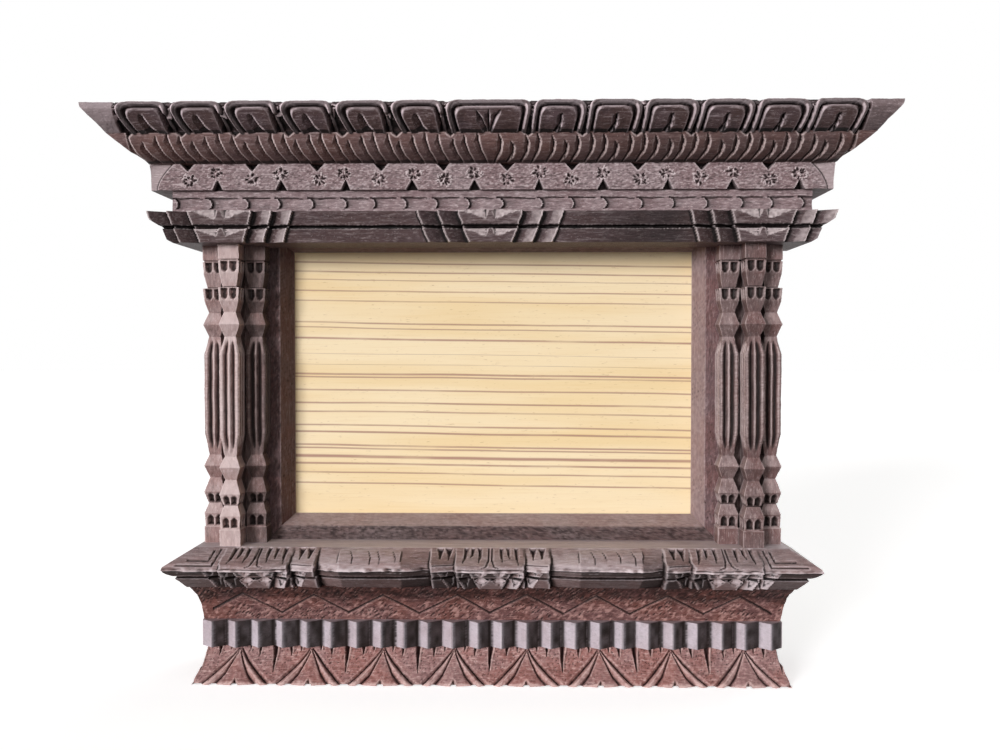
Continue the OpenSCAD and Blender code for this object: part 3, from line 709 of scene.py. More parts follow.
def notch_carve(x, z, d):
    """Triangular notches hanging from the top and standing on the foot, each with a star; scooped ends."""
    h = tooling(x, z, (0.14, 0.3, 0.5, 31), (0.10, 1.5, 3.0, 32))
    tone = 0.38 * ramp(noise(x * 1.3, z * 3.2, 35), 0.15, 0.6) - 0.55 * ramp(noise(x * 1.2, z * 3.0, 36), 0.2, 0.6)
    rand = np.random.default_rng(33)
    # share of the pitch, half widths, height, level it rises from, height of the star
    pair = ((0.28, 2.3, 2.9, 3.0, NOTCH_H - z, 3.9), (0.76, 1.7, 2.4, 3.9, z, 6.4))
    for i in range(NOTCHES):
        bites = np.full_like(x, UNCUT)
        for share, narrow, wide, tall, level, star_z in pair:
            c = -NOTCH_HALF + 8 + i * NOTCH_PITCH + share * NOTCH_PITCH + rand.uniform(-0.8, 0.8)
            w = rand.uniform(narrow, wide)
            inside = (w - np.abs(x - c)) - level * w / tall
            h = np.where(inside > 0, np.minimum(h, -4.6 * ramp(inside, 0.0, 0.35)), h)
            # painted shade in the notch
            tone = np.where(inside > 0, -0.9, tone)
            bites = np.minimum(bites, star(x, z, c + rand.uniform(-1, 1), star_z + rand.uniform(-0.5, 0.6), rand))
        h = np.minimum(h, bites)
        # raised burrs between the stabs get a painted highlight, the stabs painted shade
        burr = (bites == BURR) & (noise(x * 2.6, z * 2.6, 37) > 0.1) & (tone > -0.8)
        h = np.where(burr, h + 0.3, h)
        tone = np.where(burr, 0.7, tone)
        tone = np.where((bites < -0.3) & (tone > -0.8), -0.8, tone)
    for s in (-1, 1):
        u = s * x - (NOTCH_HALF - 3.2 - 6.6 * (z / NOTCH_H) ** 1.7)
        scoop = -1.5 * np.sqrt(np.clip(1 - np.clip(u / 8.5, 0, 1) ** 2, 0, 1))
        h = np.where(u > 0, scoop * ramp(u, 0, 0.9) + 0.4 * h, h)
        tone = np.where(u > 0, 0.28, tone)
    return h, np.zeros_like(x), tone


bar("notched_band_carving", "notched_band", BAND,
    resample([(NOTCH_D - 0.6, 0), (NOTCH_D, NOTCH_H)], ROW_STEP), columns(NOTCH_HALF),
    [(0, NOTCH_HALF), (NOTCH_H, NOTCH_HALF)], NOTCH_HALF - 2, notch_carve)

# ---- scroll band

SCROLL_PITCH = (2 * SCROLL_HALF - 6) / 19
SCROLL_MID, SCROLL_REACH = 0.40 * SCROLL_H, 2.3  # middle of the scrolls and their half height


def scroll_carve(x, z, d):
    """Running scrolls: each starts with a bowed cut and rises to the next, under a thin line; the cut and the line take
    painted shade, the raised end a painted highlight.
    """
    wobble = 2.0 * noise(x * 0.05, 0 * z, 41)
    v = np.clip((z - SCROLL_MID) / SCROLL_REACH, -1, 1)
    bow = 2.4 * (1 - np.sqrt(1 - v ** 2))
    u = np.mod(x + SCROLL_HALF - 3 + wobble + bow, SCROLL_PITCH)
    rise = np.clip(u / SCROLL_PITCH, 0, 1)
    top = SCROLL_MID + SCROLL_REACH * (0.98 + 0.10 * noise(x * 0.25, 0 * z, 44))
    body = ramp(top - z, -0.05, 0.2) * ramp(z - (SCROLL_MID - SCROLL_REACH), -0.2, 1.2)
    h = (-1.25 + 1.25 * np.clip(rise * 1.2, 0, 1) ** 0.55) * body
    line = vee(np.abs(z - top), 0.6 - 0.3 * rise, 1.1 - 0.6 * rise) * ramp(SCROLL_PITCH - u, 1.0, 2.4)
    # painted shade in the bowed cut and the line, painted highlight on the raised end
    tone = np.where(body > 0.35, np.interp(u, (0, 0.8, 1.2, 4.5), (-0.88, -0.88, -0.4, 0.0)), 0.0)
    tone = np.where((u > SCROLL_PITCH - 0.55) & (body > 0.4), 0.35, tone)
    tone = np.where(line < -0.3, -0.6, tone) + 0.22 * noise(x * 0.9, z * 4.0, 45) * (tone == 0)
    h = np.minimum(h, line) + tooling(x, z, (0.16, 0.35, 0.6, 42), (0.10, 1.6, 2.6, 43))
    return h, np.zeros_like(x), tone


bar("scroll_band_carving", "scroll_band", BAND,
    resample([(SCROLL_D, 0), (SCROLL_D, SCROLL_H)], ROW_STEP), columns(SCROLL_HALF),
    [(0, SCROLL_HALF), (SCROLL_H, SCROLL_HALF)], SCROLL_HALF - 2, scroll_carve)

# ---- lintel of two tiers with three carved blocks

POST_X = 106.0  # middle of a post
BLOCK_X = (-POST_X - 1, 0.0, POST_X + 1)
RIBS = (11.0, 19.0, 27.0)  # ends of a block's tile and ribs, outward from its middle
# tones across a rib on the lit right and on the shaded left of a block
RIB_LIT = ((0, 0.2, 0.5, 0.8, 0.93, 1.0), (-0.85, -0.6, 0.15, 0.38, 0.3, 0.5))
RIB_SHADED = ((0, 0.2, 0.6, 0.92, 1.0), (-0.8, -0.6, -0.4, -0.2, 0.45))


def lintel_carve(x, z, d):
    """Two plain tiers with a recessed joint in painted shade; blocks of a chipped tile between fanning sawtooth ribs.
    """
    h = tooling(x, z, (0.12, 0.3, 0.5, 51), (0.08, 1.5, 2.4, 52))
    # painted shade in the recessed joint between the tiers
    tone = np.where((z > 5.0) & (z < 6.6), -0.9, 0.10 * noise(x * 0.5, z * 3.0, 53) - 0.12)
    forward = np.zeros_like(x)
    upper = z > 6.0
    tier = np.where(upper, (z - 6.6) / 5.4, z / 5.4)
    rand = np.random.default_rng(54)
    for c in BLOCK_X:
        u = np.abs(x - c) - (z / LINTEL_H - 0.5) * 4.2 + 0.25 * noise(z * 0.4, 0 * x + c, 55)
        saw = np.zeros_like(x)
        for a, b in zip(RIBS, RIBS[1:]):
            share = np.clip((u - a) / (b - a), 0, 1)
            on = (u >= a) & (u < b)
            saw = np.where(on, -3.2 + 3.2 * np.clip((share - 0.12) / 0.8, 0, 1), saw)
            rib = np.where(x > c, np.interp(share, *RIB_LIT), np.interp(share, *RIB_SHADED))
            tone = np.where(on & (tone > -0.85), rib + 0.15 * noise(x * 0.8, z * 1.2, 56), tone)
        tone = np.where((u < RIBS[0]) & (tone > -0.85), tone + 0.14, tone)
        forward = np.where(u < RIBS[-1], 2.0 + saw, forward)
        for k in (-1, 1):
            inner, outer = 1.9 + rand.uniform(-0.3, 0.3), 10.4
            off = (x - c) * k
            depth = np.interp(off, (inner - 1.1, inner, outer), (0, 1, 0.12))
            reach = 0.62 * depth + 0.06 * noise(x * 0.9, z * 0.3, 57)
            chip = np.clip((tier - (1 - reach)) / 0.5, 0, 1) * (off > inner - 1.1) * (u < RIBS[0])
            h = np.where(chip > 0, h - 1.7 * chip, h)
            tone = np.where(chip > 0.02, 0.55 + 0.25 * noise(x * 1.2, z * 1.5, 58), tone)
        # painted shade under the blocks at the foot of the upper tier
        tone = np.where((u < RIBS[-1]) & (tier < 0.05) & upper, -0.8, tone)
    # painted shade on the plain tiers right of the middle block
    dark = ramp(x, 20, 70) * ramp(-x, -90, -70)
    return h, forward, np.clip(tone - 0.6 * dark * (forward == 0), -0.9, 0.75)


TIER_D = LINTEL_D - 2  # front of the upper tier, behind the blocks' fronts
path = soften(resample([(TIER_D - 3.5, 0), (TIER_D - 2, 5.36), (TIER_D - 4.6, 5.76), (TIER_D - 4.6, 6.46),
                        (TIER_D - 1.6, 6.66), (TIER_D, LINTEL_H)], 0.34))
ends = [(0, 127), (1.2, 129), (5.76, 130.6), (6.46, 131.4), (9.2, 135.4), (LINTEL_H, LINTEL_TIP)]
lintel = bar("lintel_carving", "lintel", LINTEL, path, columns(LINTEL_TIP), ends, 124, lintel_carve)
housing(lintel, 150, 230)

# ---- posts of three carved colonnettes

PILASTER_IN, PILASTER_OUT = 98.0, 118.1
COL_W, COL_GAP = 8.4, 0.3
SIDE_REAR, SIDE_FRONT, MID_REAR = 15.8, 24.4, 23.9  # depths of the side colonnettes and of the middle one's rear
WEB_HALF, WEB_FRONT = 2.1, 24.9  # web that carries the middle colonnette
POST_Z = box_mm("left_post")[0][2]
# shares of the height, and how far the faces are set in there
PROFILE = tuple(zip((0, 0), (.054, 0), (.056, .4), (.097, .1), (.099, 0), (.135, 1.6), (.137, 1.2), (.17, .1),
                    (.172, 0), (.219, 1.9), (.261, 0), (.297, 1.8), (.37, .1), (.637, 0), (.696, 1.9), (.736, 0),
                    (.776, 1.8), (.814, .4), (.857, 0), (.859, 1.5), (.905, .3), (.945, 0), (.947, .5), (.95, .5),
                    (.952, 0), (1, 0)))
# scooped bands: from and to as shares of the height, place of the two scoops across, end that is round
SCOOPS = ((.060, .094, .42, 1), (.140, .167, .42, 1), (.818, .853, .45, -1), (.909, .942, .45, -1))
BLOCK_STEP = 1.2
WRAP = 3  # columns repeated at the seam of a loop


def col_face(u, v):
    """Height of the carving on a colonnette's face: u across from -1 to 1, v the share of the height."""
    h = np.zeros_like(u)
    for a, b, place, end in SCOOPS:
        t = (v - a) / (b - a)
        for c in (-place, place):
            over = np.clip(t - 0.55 if end > 0 else 0.45 - t, 0, None) / 0.4
            body = np.clip(1.15 - np.hypot((u - c) / 0.30, over), 0, 1) * (t > -0.02) * (t < 1.02)
            h = np.minimum(h, -1.6 * np.sqrt(body))
    bulb = ramp(v, .300, .355) * (1 - ramp(v, .655, .694))
    for c in (-0.36, 0.36):
        h = np.minimum(h, vee(np.abs(u - c), 0.30, 1.6) * bulb)
    return np.minimum(h, vee(np.abs(np.abs(u) - 1.0), 0.22, 0.45) * bulb)


def colonnette(x0, rear, front, seed, bias):
    """Loop grid and tone of a square colonnette: rows up its height, columns round its left, front and right."""
    rows = np.unique(np.concatenate([np.linspace(0, 1, int(POST_H / 0.45)), PROFILE[0]]))
    v, inset = rows[:, None], np.interp(rows, *PROFILE)[:, None]
    s = np.linspace(0, 1, int((front - rear) / 0.50) + 1)[None, :]
    f = np.linspace(-1, 1, int(COL_W / 0.40) + 1)[None, :] + 0 * v
    half, depth = COL_W / 2 - inset, front - inset - rear
    wobble = 0.12 * noise(rows * 14 + seed, rows * 3, seed)[:, None]
    across = np.clip((s * depth - (depth - COL_W / 2 + inset)) / half, -2.2, 1)

    def rough(a, k):
        """Tool marks on face k, with a running across it."""
        return 0.07 * noise(a * 3.0 + k, v * 260.0, seed + k) + 0.05 * noise(a * 1.1, v * 60, seed + k + 5)

    flutes = col_face(across, v + 0 * across) * ramp(across, -1.2, -0.9)
    left, right = flutes + rough(across, 1), flutes + rough(across, 3)
    mid = col_face(f, v + 0 * f) + rough(f, 2)
    fade = ramp(s, 0.0, 0.25)
    lx, rx = x0 - half - left * fade + wobble, x0 + half + right * fade + wobble
    ld, rd = (np.minimum(rear + s * depth, rear + depth + corner) for corner in (mid[:, :1], mid[:, -1:]))
    fx, fd = np.clip(x0 + f * half + wobble, lx[:, -1:], rx[:, -1:]), rear + depth + mid

    def around(a, b, c):
        """Columns of the left, front and right face in one loop."""
        return np.concatenate([a, b[:, 1:-1], c[:, ::-1]], 1)

    x, d, cuts = around(lx, fx, rx), around(ld, fd, rd), around(left, mid, right)
    z = POST_Z + v * POST_H + 0 * x
    lean = np.gradient(inset[:, 0], rows * POST_H)[:, None]
    # painted light: faces leaning up paler and leaning down darker, the left face paler and the right darker, painted
    # shade in the cuts, and a bias that shifts each colonnette's painted light and shade
    tone = np.clip(0.45 * lean, -0.45, 0.32) * (np.abs(lean) < 2.0) + 0.12 * noise(x * 0.9, z * 0.5, seed + 9)
    tone = tone + around(0 * lx + 0.12, 0 * fx, 0 * rx - 0.3) + bias - 0.5 * ramp(-cuts, 0.3, 0.7)
    return np.stack([x, d, z], 2), np.clip(tone, -0.85, 0.6)


def close_wrap(p):
    """Closes a grid whose columns run round a loop, with flat end caps."""
    m, n = p.shape[:2]
    idx = np.arange(m * n).reshape(m, n)
    nxt = np.roll(idx, -1, axis=1)
    faces = np.stack([idx[:-1], nxt[:-1], nxt[1:], idx[1:]], -1).reshape(-1, 4).tolist()
    faces.append(idx[0, ::-1].tolist())
    faces.append(idx[-1].tolist())
    return p.reshape(-1, 3), faces


def joined(node, material, grids, tones):
    """One piece from several closed loop grids and their tones."""
    verts, faces, wear_and_highlight, hollow_shade = [], [], [], []
    base = 0
    for g, tone in zip(grids, tones):
        v, f = close_wrap(g)
        quads = v[np.array(f[:-2])]
        inward = np.einsum("ij,ij->i", quads[:, 0], np.cross(quads[:, 1], quads[:, 2])).sum() > 0
        wrapped = np.concatenate([g[:, -WRAP:], g, g[:, :WRAP]], 1)
        rubbed_and_lit, hollow = (a[:, WRAP:-WRAP] for a in edges(wrapped, -1.0 if inward else 1.0))
        # the pale edges are dimmed where the tone paints shade
        wear_and_highlight.append((rubbed_and_lit * (1 - np.clip(-1.3 * tone, 0, 0.85))).ravel())
        hollow_shade.append(hollow.ravel())
        verts.append(v)
        faces += [[i + base for i in (q[::-1] if inward else q)] for q in f]
        base += len(v)
    attributes = {"wear_and_highlight": np.concatenate(wear_and_highlight), "hollow_shade": np.concatenate(hollow_shade),
                  "tone": np.concatenate([tone.ravel() for tone in tones])}
    return add_piece(node + "_carving", node, material, np.vstack(verts), faces, attributes, 38.0)


def block(x0, x1, d0, d1, seed):
    """Loop grid of a block as high as the post, with lightly uneven faces."""
    z0, z1 = POST_Z, POST_Z + POST_H
    rows = np.linspace(z0, z1, int((z1 - z0) / BLOCK_STEP) + 1)
    corners = [(x0, d0), (x0, d1), (x1, d1), (x1, d0)]
    ring = []
    for (ax, ad), (bx, bd) in zip(corners, corners[1:] + corners[:1]):
        n = max(1, int(math.hypot(bx - ax, bd - ad) / BLOCK_STEP))
        ring += [(ax + (bx - ax) * t, ad + (bd - ad) * t) for t in np.linspace(0, 1, n, endpoint=False)]
    ring = np.array(ring)
    xx, zz = np.meshgrid(ring[:, 0], rows)
    dd = np.meshgrid(ring[:, 1], rows)[0]
    k = 0.05 * noise(zz * 0.6, dd * 0.5 + xx * 0.4, seed)
    return np.stack([xx + k * np.sign(xx - (x0 + x1) / 2), dd + k * (dd > (d0 + d1) / 2), zz], 2)


# side, seed, and the tones of the colonnettes from left to right, which paint their light and shade, such as the shade
# on the left post's inner colonnette
POSTS = (("left_post", LIT_POST, -1, 60, (0.0, 0.38, -0.58)), ("right_post", SHADED_POST, 1, 75, (-0.06, -0.2, 0.02)))
COLONNETTES = ((-COL_W - COL_GAP, SIDE_REAR, SIDE_FRONT), (0.0, MID_REAR, POST_D),
               (COL_W + COL_GAP, SIDE_REAR, SIDE_FRONT))
for name, material, side, seed, shades in POSTS:
    cx = side * POST_X
    grids, tones = [], []
    for k, (dx, rear, front) in enumerate(COLONNETTES):
        grid, tone = colonnette(cx + dx, rear, front, seed + 4 * k, shades[k])
        grids.append(grid)
        tones.append(tone)
    x0, x1 = sorted((side * PILASTER_IN, side * PILASTER_OUT))
    grids.append(block(x0, x1, 0.0, FRAME_D, seed + 20))
    grids.append(block(cx - WEB_HALF, cx + WEB_HALF, FRAME_D - 0.3, WEB_FRONT, seed + 21))
    tones += [np.full(g.shape[:2], -0.3) for g in grids[3:]]
    joined(name, material, grids, tones)

# ---- mitred frame with a splayed inner edge

RAIL_W = 13.0
OPEN_X, OPEN_Z1 = FRAME_OUT - RAIL_W, box_mm("frame_head")[0][2]
OPEN_Z0 = box_mm("frame_bottom_rail")[1][2]
MID_Z, HALF_Z = (OPEN_Z0 + OPEN_Z1) / 2, (OPEN_Z1 - OPEN_Z0) / 2
# section from the opening outward (q, d), and the mesh spacing on each of its sides
SECTION = [(0, 6), (0, 7), (4, FRAME_D), (RAIL_W, FRAME_D), (RAIL_W, 0), (5, 0), (5, 6)]
SPACING = (0.5, 0.5, 0.5, 3, 3, 3, 3)


def member(half, place, seed, marks, shade, bevel):
    """Loop grid and tone of a frame member: the section swept along its length, the ends cut at 45 degrees."""
    ring = []
    for a, b, fine in zip(SECTION, SECTION[1:] + SECTION[:1], SPACING):
        n = max(1, int(round(math.hypot(b[0] - a[0], b[1] - a[1]) / fine)))
        ring += [(a[0] + (b[0] - a[0]) * t, a[1] + (b[1] - a[1]) * t) for t in np.linspace(0, 1, n, endpoint=False)]
    ring = np.array(ring)
    t = np.linspace(-1, 1, int(2 * half / 0.7) + 1)[:, None]
    along = t * (half - 0.06 + ring[None, :, 0])
    q, d = ring[None, :, 0] + 0 * t, ring[None, :, 1] + 0 * t
    front = d > FRAME_D - 0.01
    h = 0.09 * noise(along * 0.22, q * 0.4 + d * 0.3, seed) + 0.05 * noise(along * 1.3, q * 1.1 + d, seed + 1)
    if marks:
        filed = np.mod(along * 0.55 + q * 0.5 + 1.2 * noise(along * 0.08, q * 0.2, seed + 2), 1.0)
        where = ramp(noise(along * 0.07, q * 0.15, seed + 3), -0.3, 0.4)
        h = h - 0.16 * np.clip(1 - np.abs(filed - 0.5) / 0.22, 0, 1) * where
    edge = np.clip(1 - np.abs(q - 4.2) / 1.6, 0, 1) * (d > 11)
    chips = pits(along, q + 30, 2.6, 0.9, 0.7, seed + 4, 0.33) * edge
    h = (h + chips) * ramp(1 - np.abs(t), 0, 0.05)
    slope = (d > 7.01) & ~front
    q2 = q + np.where(slope, -h * 0.91, 0.0)
    d2 = d + np.where(slope, h * 0.41, np.where(front, h, 0.0))
    rough = noise(along * 0.9, q * 2.2, seed + 6)
    # the front and splay tones paint each member's light and shade; chips get a painted highlight
    tone = np.where(front, shade + 0.3 * rough, bevel + 0.12 * rough) + 0.2 * ramp(-chips, 0.1, 0.3)
    x, z = place(along, q2)
    return np.stack([x, d2, z], 2), tone


# half length, place of a point along and across, seed, file marks, tones of the front and of the splay (painted light
# and shade: left stile and bottom rail front shaded, right splay lit)
MEMBERS = (("frame_head", RAIL, OPEN_X, lambda s, q: (s, OPEN_Z1 + q), 101, False, -0.45, -0.1),
           ("frame_bottom_rail", RAIL, OPEN_X, lambda s, q: (-s, OPEN_Z0 - q), 111, False, -0.68, 0.2),
           ("frame_left_stile", JAMB, HALF_Z, lambda s, q: (-OPEN_X - q, MID_Z + s), 121, True, -0.5, -0.3),
           ("frame_right_stile", JAMB, HALF_Z, lambda s, q: (OPEN_X + q, MID_Z - s), 131, True, -0.15, 0.3))
for name, material, *shape in MEMBERS:
    grid, tone = member(*shape)
    joined(name, material, [grid], [tone])

# ---- sill with a sloping carved front

# shares of the half length, and how far the slope's foot is set back there
SETBACK = tuple(zip((0, 0), (.104, 0), (.106, 3.2), (.181, 0.6), (.184, 5.0), (.235, 3.4), (.275, 2.2), (.46, 2.2),
                    (.49, 3.4), (.528, 5.0), (.531, 0.6), (.609, 3.2), (.611, 0), (.821, 0), (.823, 1.5), (1.1, 1.5)))
LEDGE_D = 33.4
LIP_Z, LIP_TOP, EDGE_Z = 9.45, 10.65, 8.1
CUT_TOP = 15.25
TILES = ((0.0, 13.6), (-0.716 * SILL_TIP, 13.7), (0.716 * SILL_TIP, 13.7))  # middle and half width
RIB_IN, RIB_OUT, RIB_W = 7.2, 19.6, 6.2  # two ribs on each side of a tile
SILL_LIT = ((0, 0.2, 0.5, 0.8, 1.0), (-0.85, -0.6, 0.15, 0.5, 0.55))
SILL_SHADED = ((0, 0.2, 0.6, 0.9, 1.0), (-0.8, -0.65, -0.45, -0.25, 0.5))


def sill_cuts(x, z, on, tone):
    """Cuts in the sill's slope and the tone with their lights: tiles, chips, straps and the lines at the ends."""
    rand = np.random.default_rng(7)
    cuts = np.zeros_like(x)
    for c, w in TILES:
        for s in (-1, 1):
            for k, foot, width in ((0.80, 11.0, 1.3), (0.56, 12.4, 1.1), (0.33, 11.4, 1.2)):
                a = c + s * k * w * 0.92 + rand.uniform(-0.4, 0.4)
                b = c + s * k * w * 1.04 + rand.uniform(-0.3, 0.3)
                low_z = foot + rand.uniform(-0.3, 0.3)
                line = [(a, CUT_TOP), ((a + b) / 2 - s * 0.3, (CUT_TOP + low_z) / 2), (b, low_z)]
                cut = cut_line(x, z, line, (1.0, 0.75, 0.15), 1.5, 0.45 * width, 1.2 * width, 1)
                cuts = np.minimum(cuts, cut)
            arch = [(c + s * 0.55, 15.3), (c + s * 0.65, 12.4), (c + s * 1.6, 10.6), (c + s * 3.8, 9.7)]
            cuts = np.minimum(cuts, cut_line(x, z, arch, (0.7, 0.7, 0.6, 0.3), 1.0, 0.45, 0.8, 1))
        inside = np.abs(x - c) < w
        level = vee(np.abs(z - 9.0 - 0.25 * noise(x * 0.3, 0 * z, 77)), 0.30, 0.6)
        cuts = np.where(inside, np.minimum(cuts, level), cuts)
        # painted highlight along the lip of the tile
        tone = np.where(inside & (np.abs(z - 8.5) < 0.3), 0.4, tone)
    for s in (-1, 1):
        for leaf in (0.143, 0.571):
            c = s * leaf * SILL_TIP
            for k in (-0.7, 0.9):
                chip = np.clip(1.7 - np.abs(x - c - 2.2 * k) - (15.3 - z) * 0.45, 0, 1)
                cuts = np.minimum(cuts, -1.4 * chip)
                tone = np.where((chip > 0) & on, 0.35, tone)
            cuts = np.where((np.abs(x - c) < 4.2) & (np.abs(z - 10.6) < 0.2), -0.5, cuts)
        for k in range(4):
            c = s * (0.296 + 0.044 * k) * SILL_TIP + rand.uniform(-1.6, 1.6)
            line = [(c, 14.0), (c + 1.2, 12.2), (c + 1.3, 10.2)]
            cuts = np.minimum(cuts, cut_line(x, z, line, (0.4, 0.6, 0.2), 0.6, 0.3, 0.9, 1))
        c0, c1 = s * 0.845 * SILL_TIP, s * 0.955 * SILL_TIP
        for a, b in (((c0, 10.2), (c1, 10.2)), ((c0, 10.2), (c0 - s * 1.0, 14.7)),
                     ((c0 + s * 2, 11.9), (c1 - s * 4, 11.9)), ((c0 + s * 2, 11.9), (c0 + s * 1.4, 14.4))):
            cuts = np.minimum(cuts, vee(seg(x, z, a, b)[0], 0.55, 0.85))
    return cuts, tone


def sill_carve(x, z, d):
    """Level ledge, slope with cut tiles and raised straps, ragged edge, and two tiers of ribbed blocks below it."""
    h = tooling(x, z, (0.10, 0.25, 0.4, 71), (0.07, 1.3, 2.0, 72))
    side = np.abs(x + 0.5 * noise(z * 0.5, x * 0.05, 73)) / SILL_TIP
    slope = np.clip((z - LIP_TOP) / (SILL_H - LIP_TOP), 0, 1)
    on, under = z > EDGE_Z, z < EDGE_Z
    forward = -np.interp(side, *SETBACK) * np.where(z > LIP_TOP, 1 - slope, 1.0)
    forward = forward + 0.9 * np.clip(LIP_Z - z, 0, LIP_Z - EDGE_Z) * on
    ragged = tooling(x, z, (1.2, 0.16, 0.15, 74), (0.8, 0.45, 0.25, 75)) - 0.6
    forward = forward + np.exp(-((z - EDGE_Z - 0.3) / 0.8) ** 2) * ragged
    strap = (side > 0.272) & (side < 0.463) & on
    h = np.where(strap, h + 0.8 * np.sin(np.pi * np.clip(slope * 1.15, 0, 1)), h)
    cuts, tone = sill_cuts(x, z, on, 0.15 * noise(x * 0.4, z * 3.0, 76))
    h = np.where(on, (h + cuts) * ramp(SILL_H - z, 0.02, 0.3), h)
    # painted shade in the cuts
    tone = np.where(on & (cuts < -0.45), np.minimum(tone, -0.45), tone)
    # strap paler, with a painted highlight along its lower edge
    tone = np.where(strap, tone + 0.18 + 0.35 * ramp(EDGE_Z + 1.3 - z, 0, 0.6), tone)
    # painted shade under the lip
    tone = np.where(under, -0.62 - 0.28 * (z > EDGE_Z - 1.9), tone)
    # painted shade in the recessed joint between the lower tiers
    tone = np.where((z > 4.2) & (z < 5.4), -0.9, tone)
    tier = np.where(z > 4.9, (z - 5.3) / 2.8, z / 4.3)
    for c, _ in TILES:
        u = np.abs(x - c) - (z / LIP_TOP - 0.5) * 5.0
        ribs = under & (u >= RIB_IN) & (u < RIB_OUT)
        tile = under & (u < RIB_IN)
        share = np.mod(u - RIB_IN, RIB_W) / RIB_W
        forward = np.where(ribs, forward - 2.6 + 2.9 * np.clip((share - 0.12) / 0.88, 0, 1), forward)
        rib = np.where(x > c, np.interp(share, *SILL_LIT), np.interp(share, *SILL_SHADED))
        tone = np.where(ribs & (tone > -0.88), rib, tone)
        # painted shade on the tile's front under the lip
        tone = np.where(tile & (tone > -0.88), -0.3, tone)
        for k in (-1, 1):
            off = x - c - 3.6 * k
            chip = np.clip(3.4 * (tier - 0.2) / 0.8 - np.abs(off), 0, 3)
            here = tile & (chip > 0)
            h = np.where(here, h - np.minimum(0.8 * chip, 1.7), h)
            # chip facets: painted highlight on the side facing left, a little shade on the other
            tone = np.where(here, np.where(off > 0, 0.28, -0.05), tone)
        facet = ribs & (share > 0.35) & (np.abs(share - 0.68) < 0.33 * np.clip((tier - 0.15) / 0.85, 0, 1))
        h = np.where(facet, h - 0.6, h)
        # painted highlight on the facets of the ribs right of a tile
        tone = np.where(facet & (x > c), 0.6, tone)
    ledge = SILL_H - 0.06
    # paler ledge top: painted light on the up-facing ledge
    tone = np.where(z > ledge, 0.5 + 0.15 * noise(x * 0.1, d * 1.2, 78), tone)
    # painted light by the way the face turns: faces turned left paler, faces turned right darker
    turn = np.gradient(forward, axis=1) / (np.gradient(x, axis=1) + 1e-6)
    light = np.clip(1.3 * turn, -0.55, 0.35) * np.where(np.abs(turn) < 3, 1.0, 0.6)
    return h, forward, np.clip(np.where(z < ledge, tone + light, tone), -0.9, 0.7)


SILL_STEP = 0.42
path = [(SILL_D - 8, 0), (SILL_D - 4, 4.25), (SILL_D - 6, 4.65), (SILL_D - 6, 5.25), (SILL_D - 2.4, 5.55),
        (SILL_D, LIP_Z), (SILL_D - 0.6, LIP_TOP), (LEDGE_D, SILL_H), (FRAME_D + 1.5, SILL_H)]
ends = [(0, 122), (4.25, 125.5), (5.25, 125), (6.4, 128.2), (7.4, 129.7), (8.5, 130), (9.6, 129.4), (10.8, 127.4),
        (SILL_H, 119.5)]
sill = bar("sill_carving", "sill", SILL, soften(resample(path, SILL_STEP)),
           columns(SILL_TIP, step=SILL_STEP), ends, 116, sill_carve)
housing(sill, OPEN_Z0 - RAIL_W, 80)

# ---- hollow frieze with an incised zigzag

ZIGZAGS, ZIGZAG_PITCH = 8, 28.6
ZIGZAG_HALF = ZIGZAGS / 2 * ZIGZAG_PITCH


def frieze_carve(x, z, d):
    """Zigzag line on a ground of slanting stabs, with pale flecks; painted shade in the line and the stabs, and a
    painted shadow of the sill on the upper part.
    """
    rand = np.random.default_rng(8)
    points = []
    for i in range(ZIGZAGS + 1):
        c = i - ZIGZAGS / 2
        points.append((c * ZIGZAG_PITCH + rand.uniform(-1, 1), 0.20 * FRIEZE_H + rand.uniform(-0.4, 0.4)))
        if i < ZIGZAGS:
            points.append(((c + 0.5) * ZIGZAG_PITCH + rand.uniform(-1.5, 1.5),
                           0.74 * FRIEZE_H + rand.uniform(-0.5, 0.5)))
    near = np.full_like(x, 9.0)
    for i, (a, b) in enumerate(zip(points, points[1:])):
        wide = 1.5 if i in (0, 2 * ZIGZAGS - 1) else rand.uniform(0.75, 1.1)
        near = np.minimum(near, seg(x, z, a, b)[0] / wide)
    inner = np.abs(x) < ZIGZAG_HALF - 1
    along, across = 0.40 * (0.77 * x + 0.64 * z), 1.25 * (0.77 * z - 0.64 * x)
    stabs = pits(along, across, 1.15, 0.62, 0.62, 84, 0.7)
    h = tooling(x, z, (0.12, 0.3, 0.4, 81), (0.08, 1.4, 1.4, 82))
    h = h + stabs * ramp(near, 1.0, 2.4) * ramp(noise(x * 0.09, z * 0.3, 83), -0.7, 0.1)
    h = np.where(inner, h + vee(near, 0.55, 0.75), h)
    # painted shadow of the sill on the upper part
    tone = -0.75 * ramp(z + 1.2 * noise(x * 0.12, 0 * z, 85), 0.42 * FRIEZE_H, 0.74 * FRIEZE_H)
    flecks = ramp(noise(along * 1.6, across * 1.1, 87), 0.2, 0.6) * ramp(near, 0.4, 1.0)
    # painted shade in the zigzag line
    tone = np.where(inner & (near < 0.3), -0.75, tone) + 0.2 * noise(x * 0.7, z * 1.2, 86)
    # pale flecks, and painted shade in the stabs
    tone = tone + 0.34 * flecks - 0.25 * ramp(-stabs, 0.1, 0.4)
    return h, np.zeros_like(x), np.clip(tone, -0.9, 0.5)


path = soften(resample(spline([(31, 0), (31.99, 5.8), (33.75, 10.44), (36.5, FRIEZE_H)]), 0.45))
ends = [(0, 117.1), (5.8, 117.9), (10.44, 119.3), (FRIEZE_H, FRIEZE_TIP)]
bar("frieze_carving", "frieze", FRIEZE, path, columns(FRIEZE_TIP), ends, 112, frieze_carve)

# ---- pointed dentils

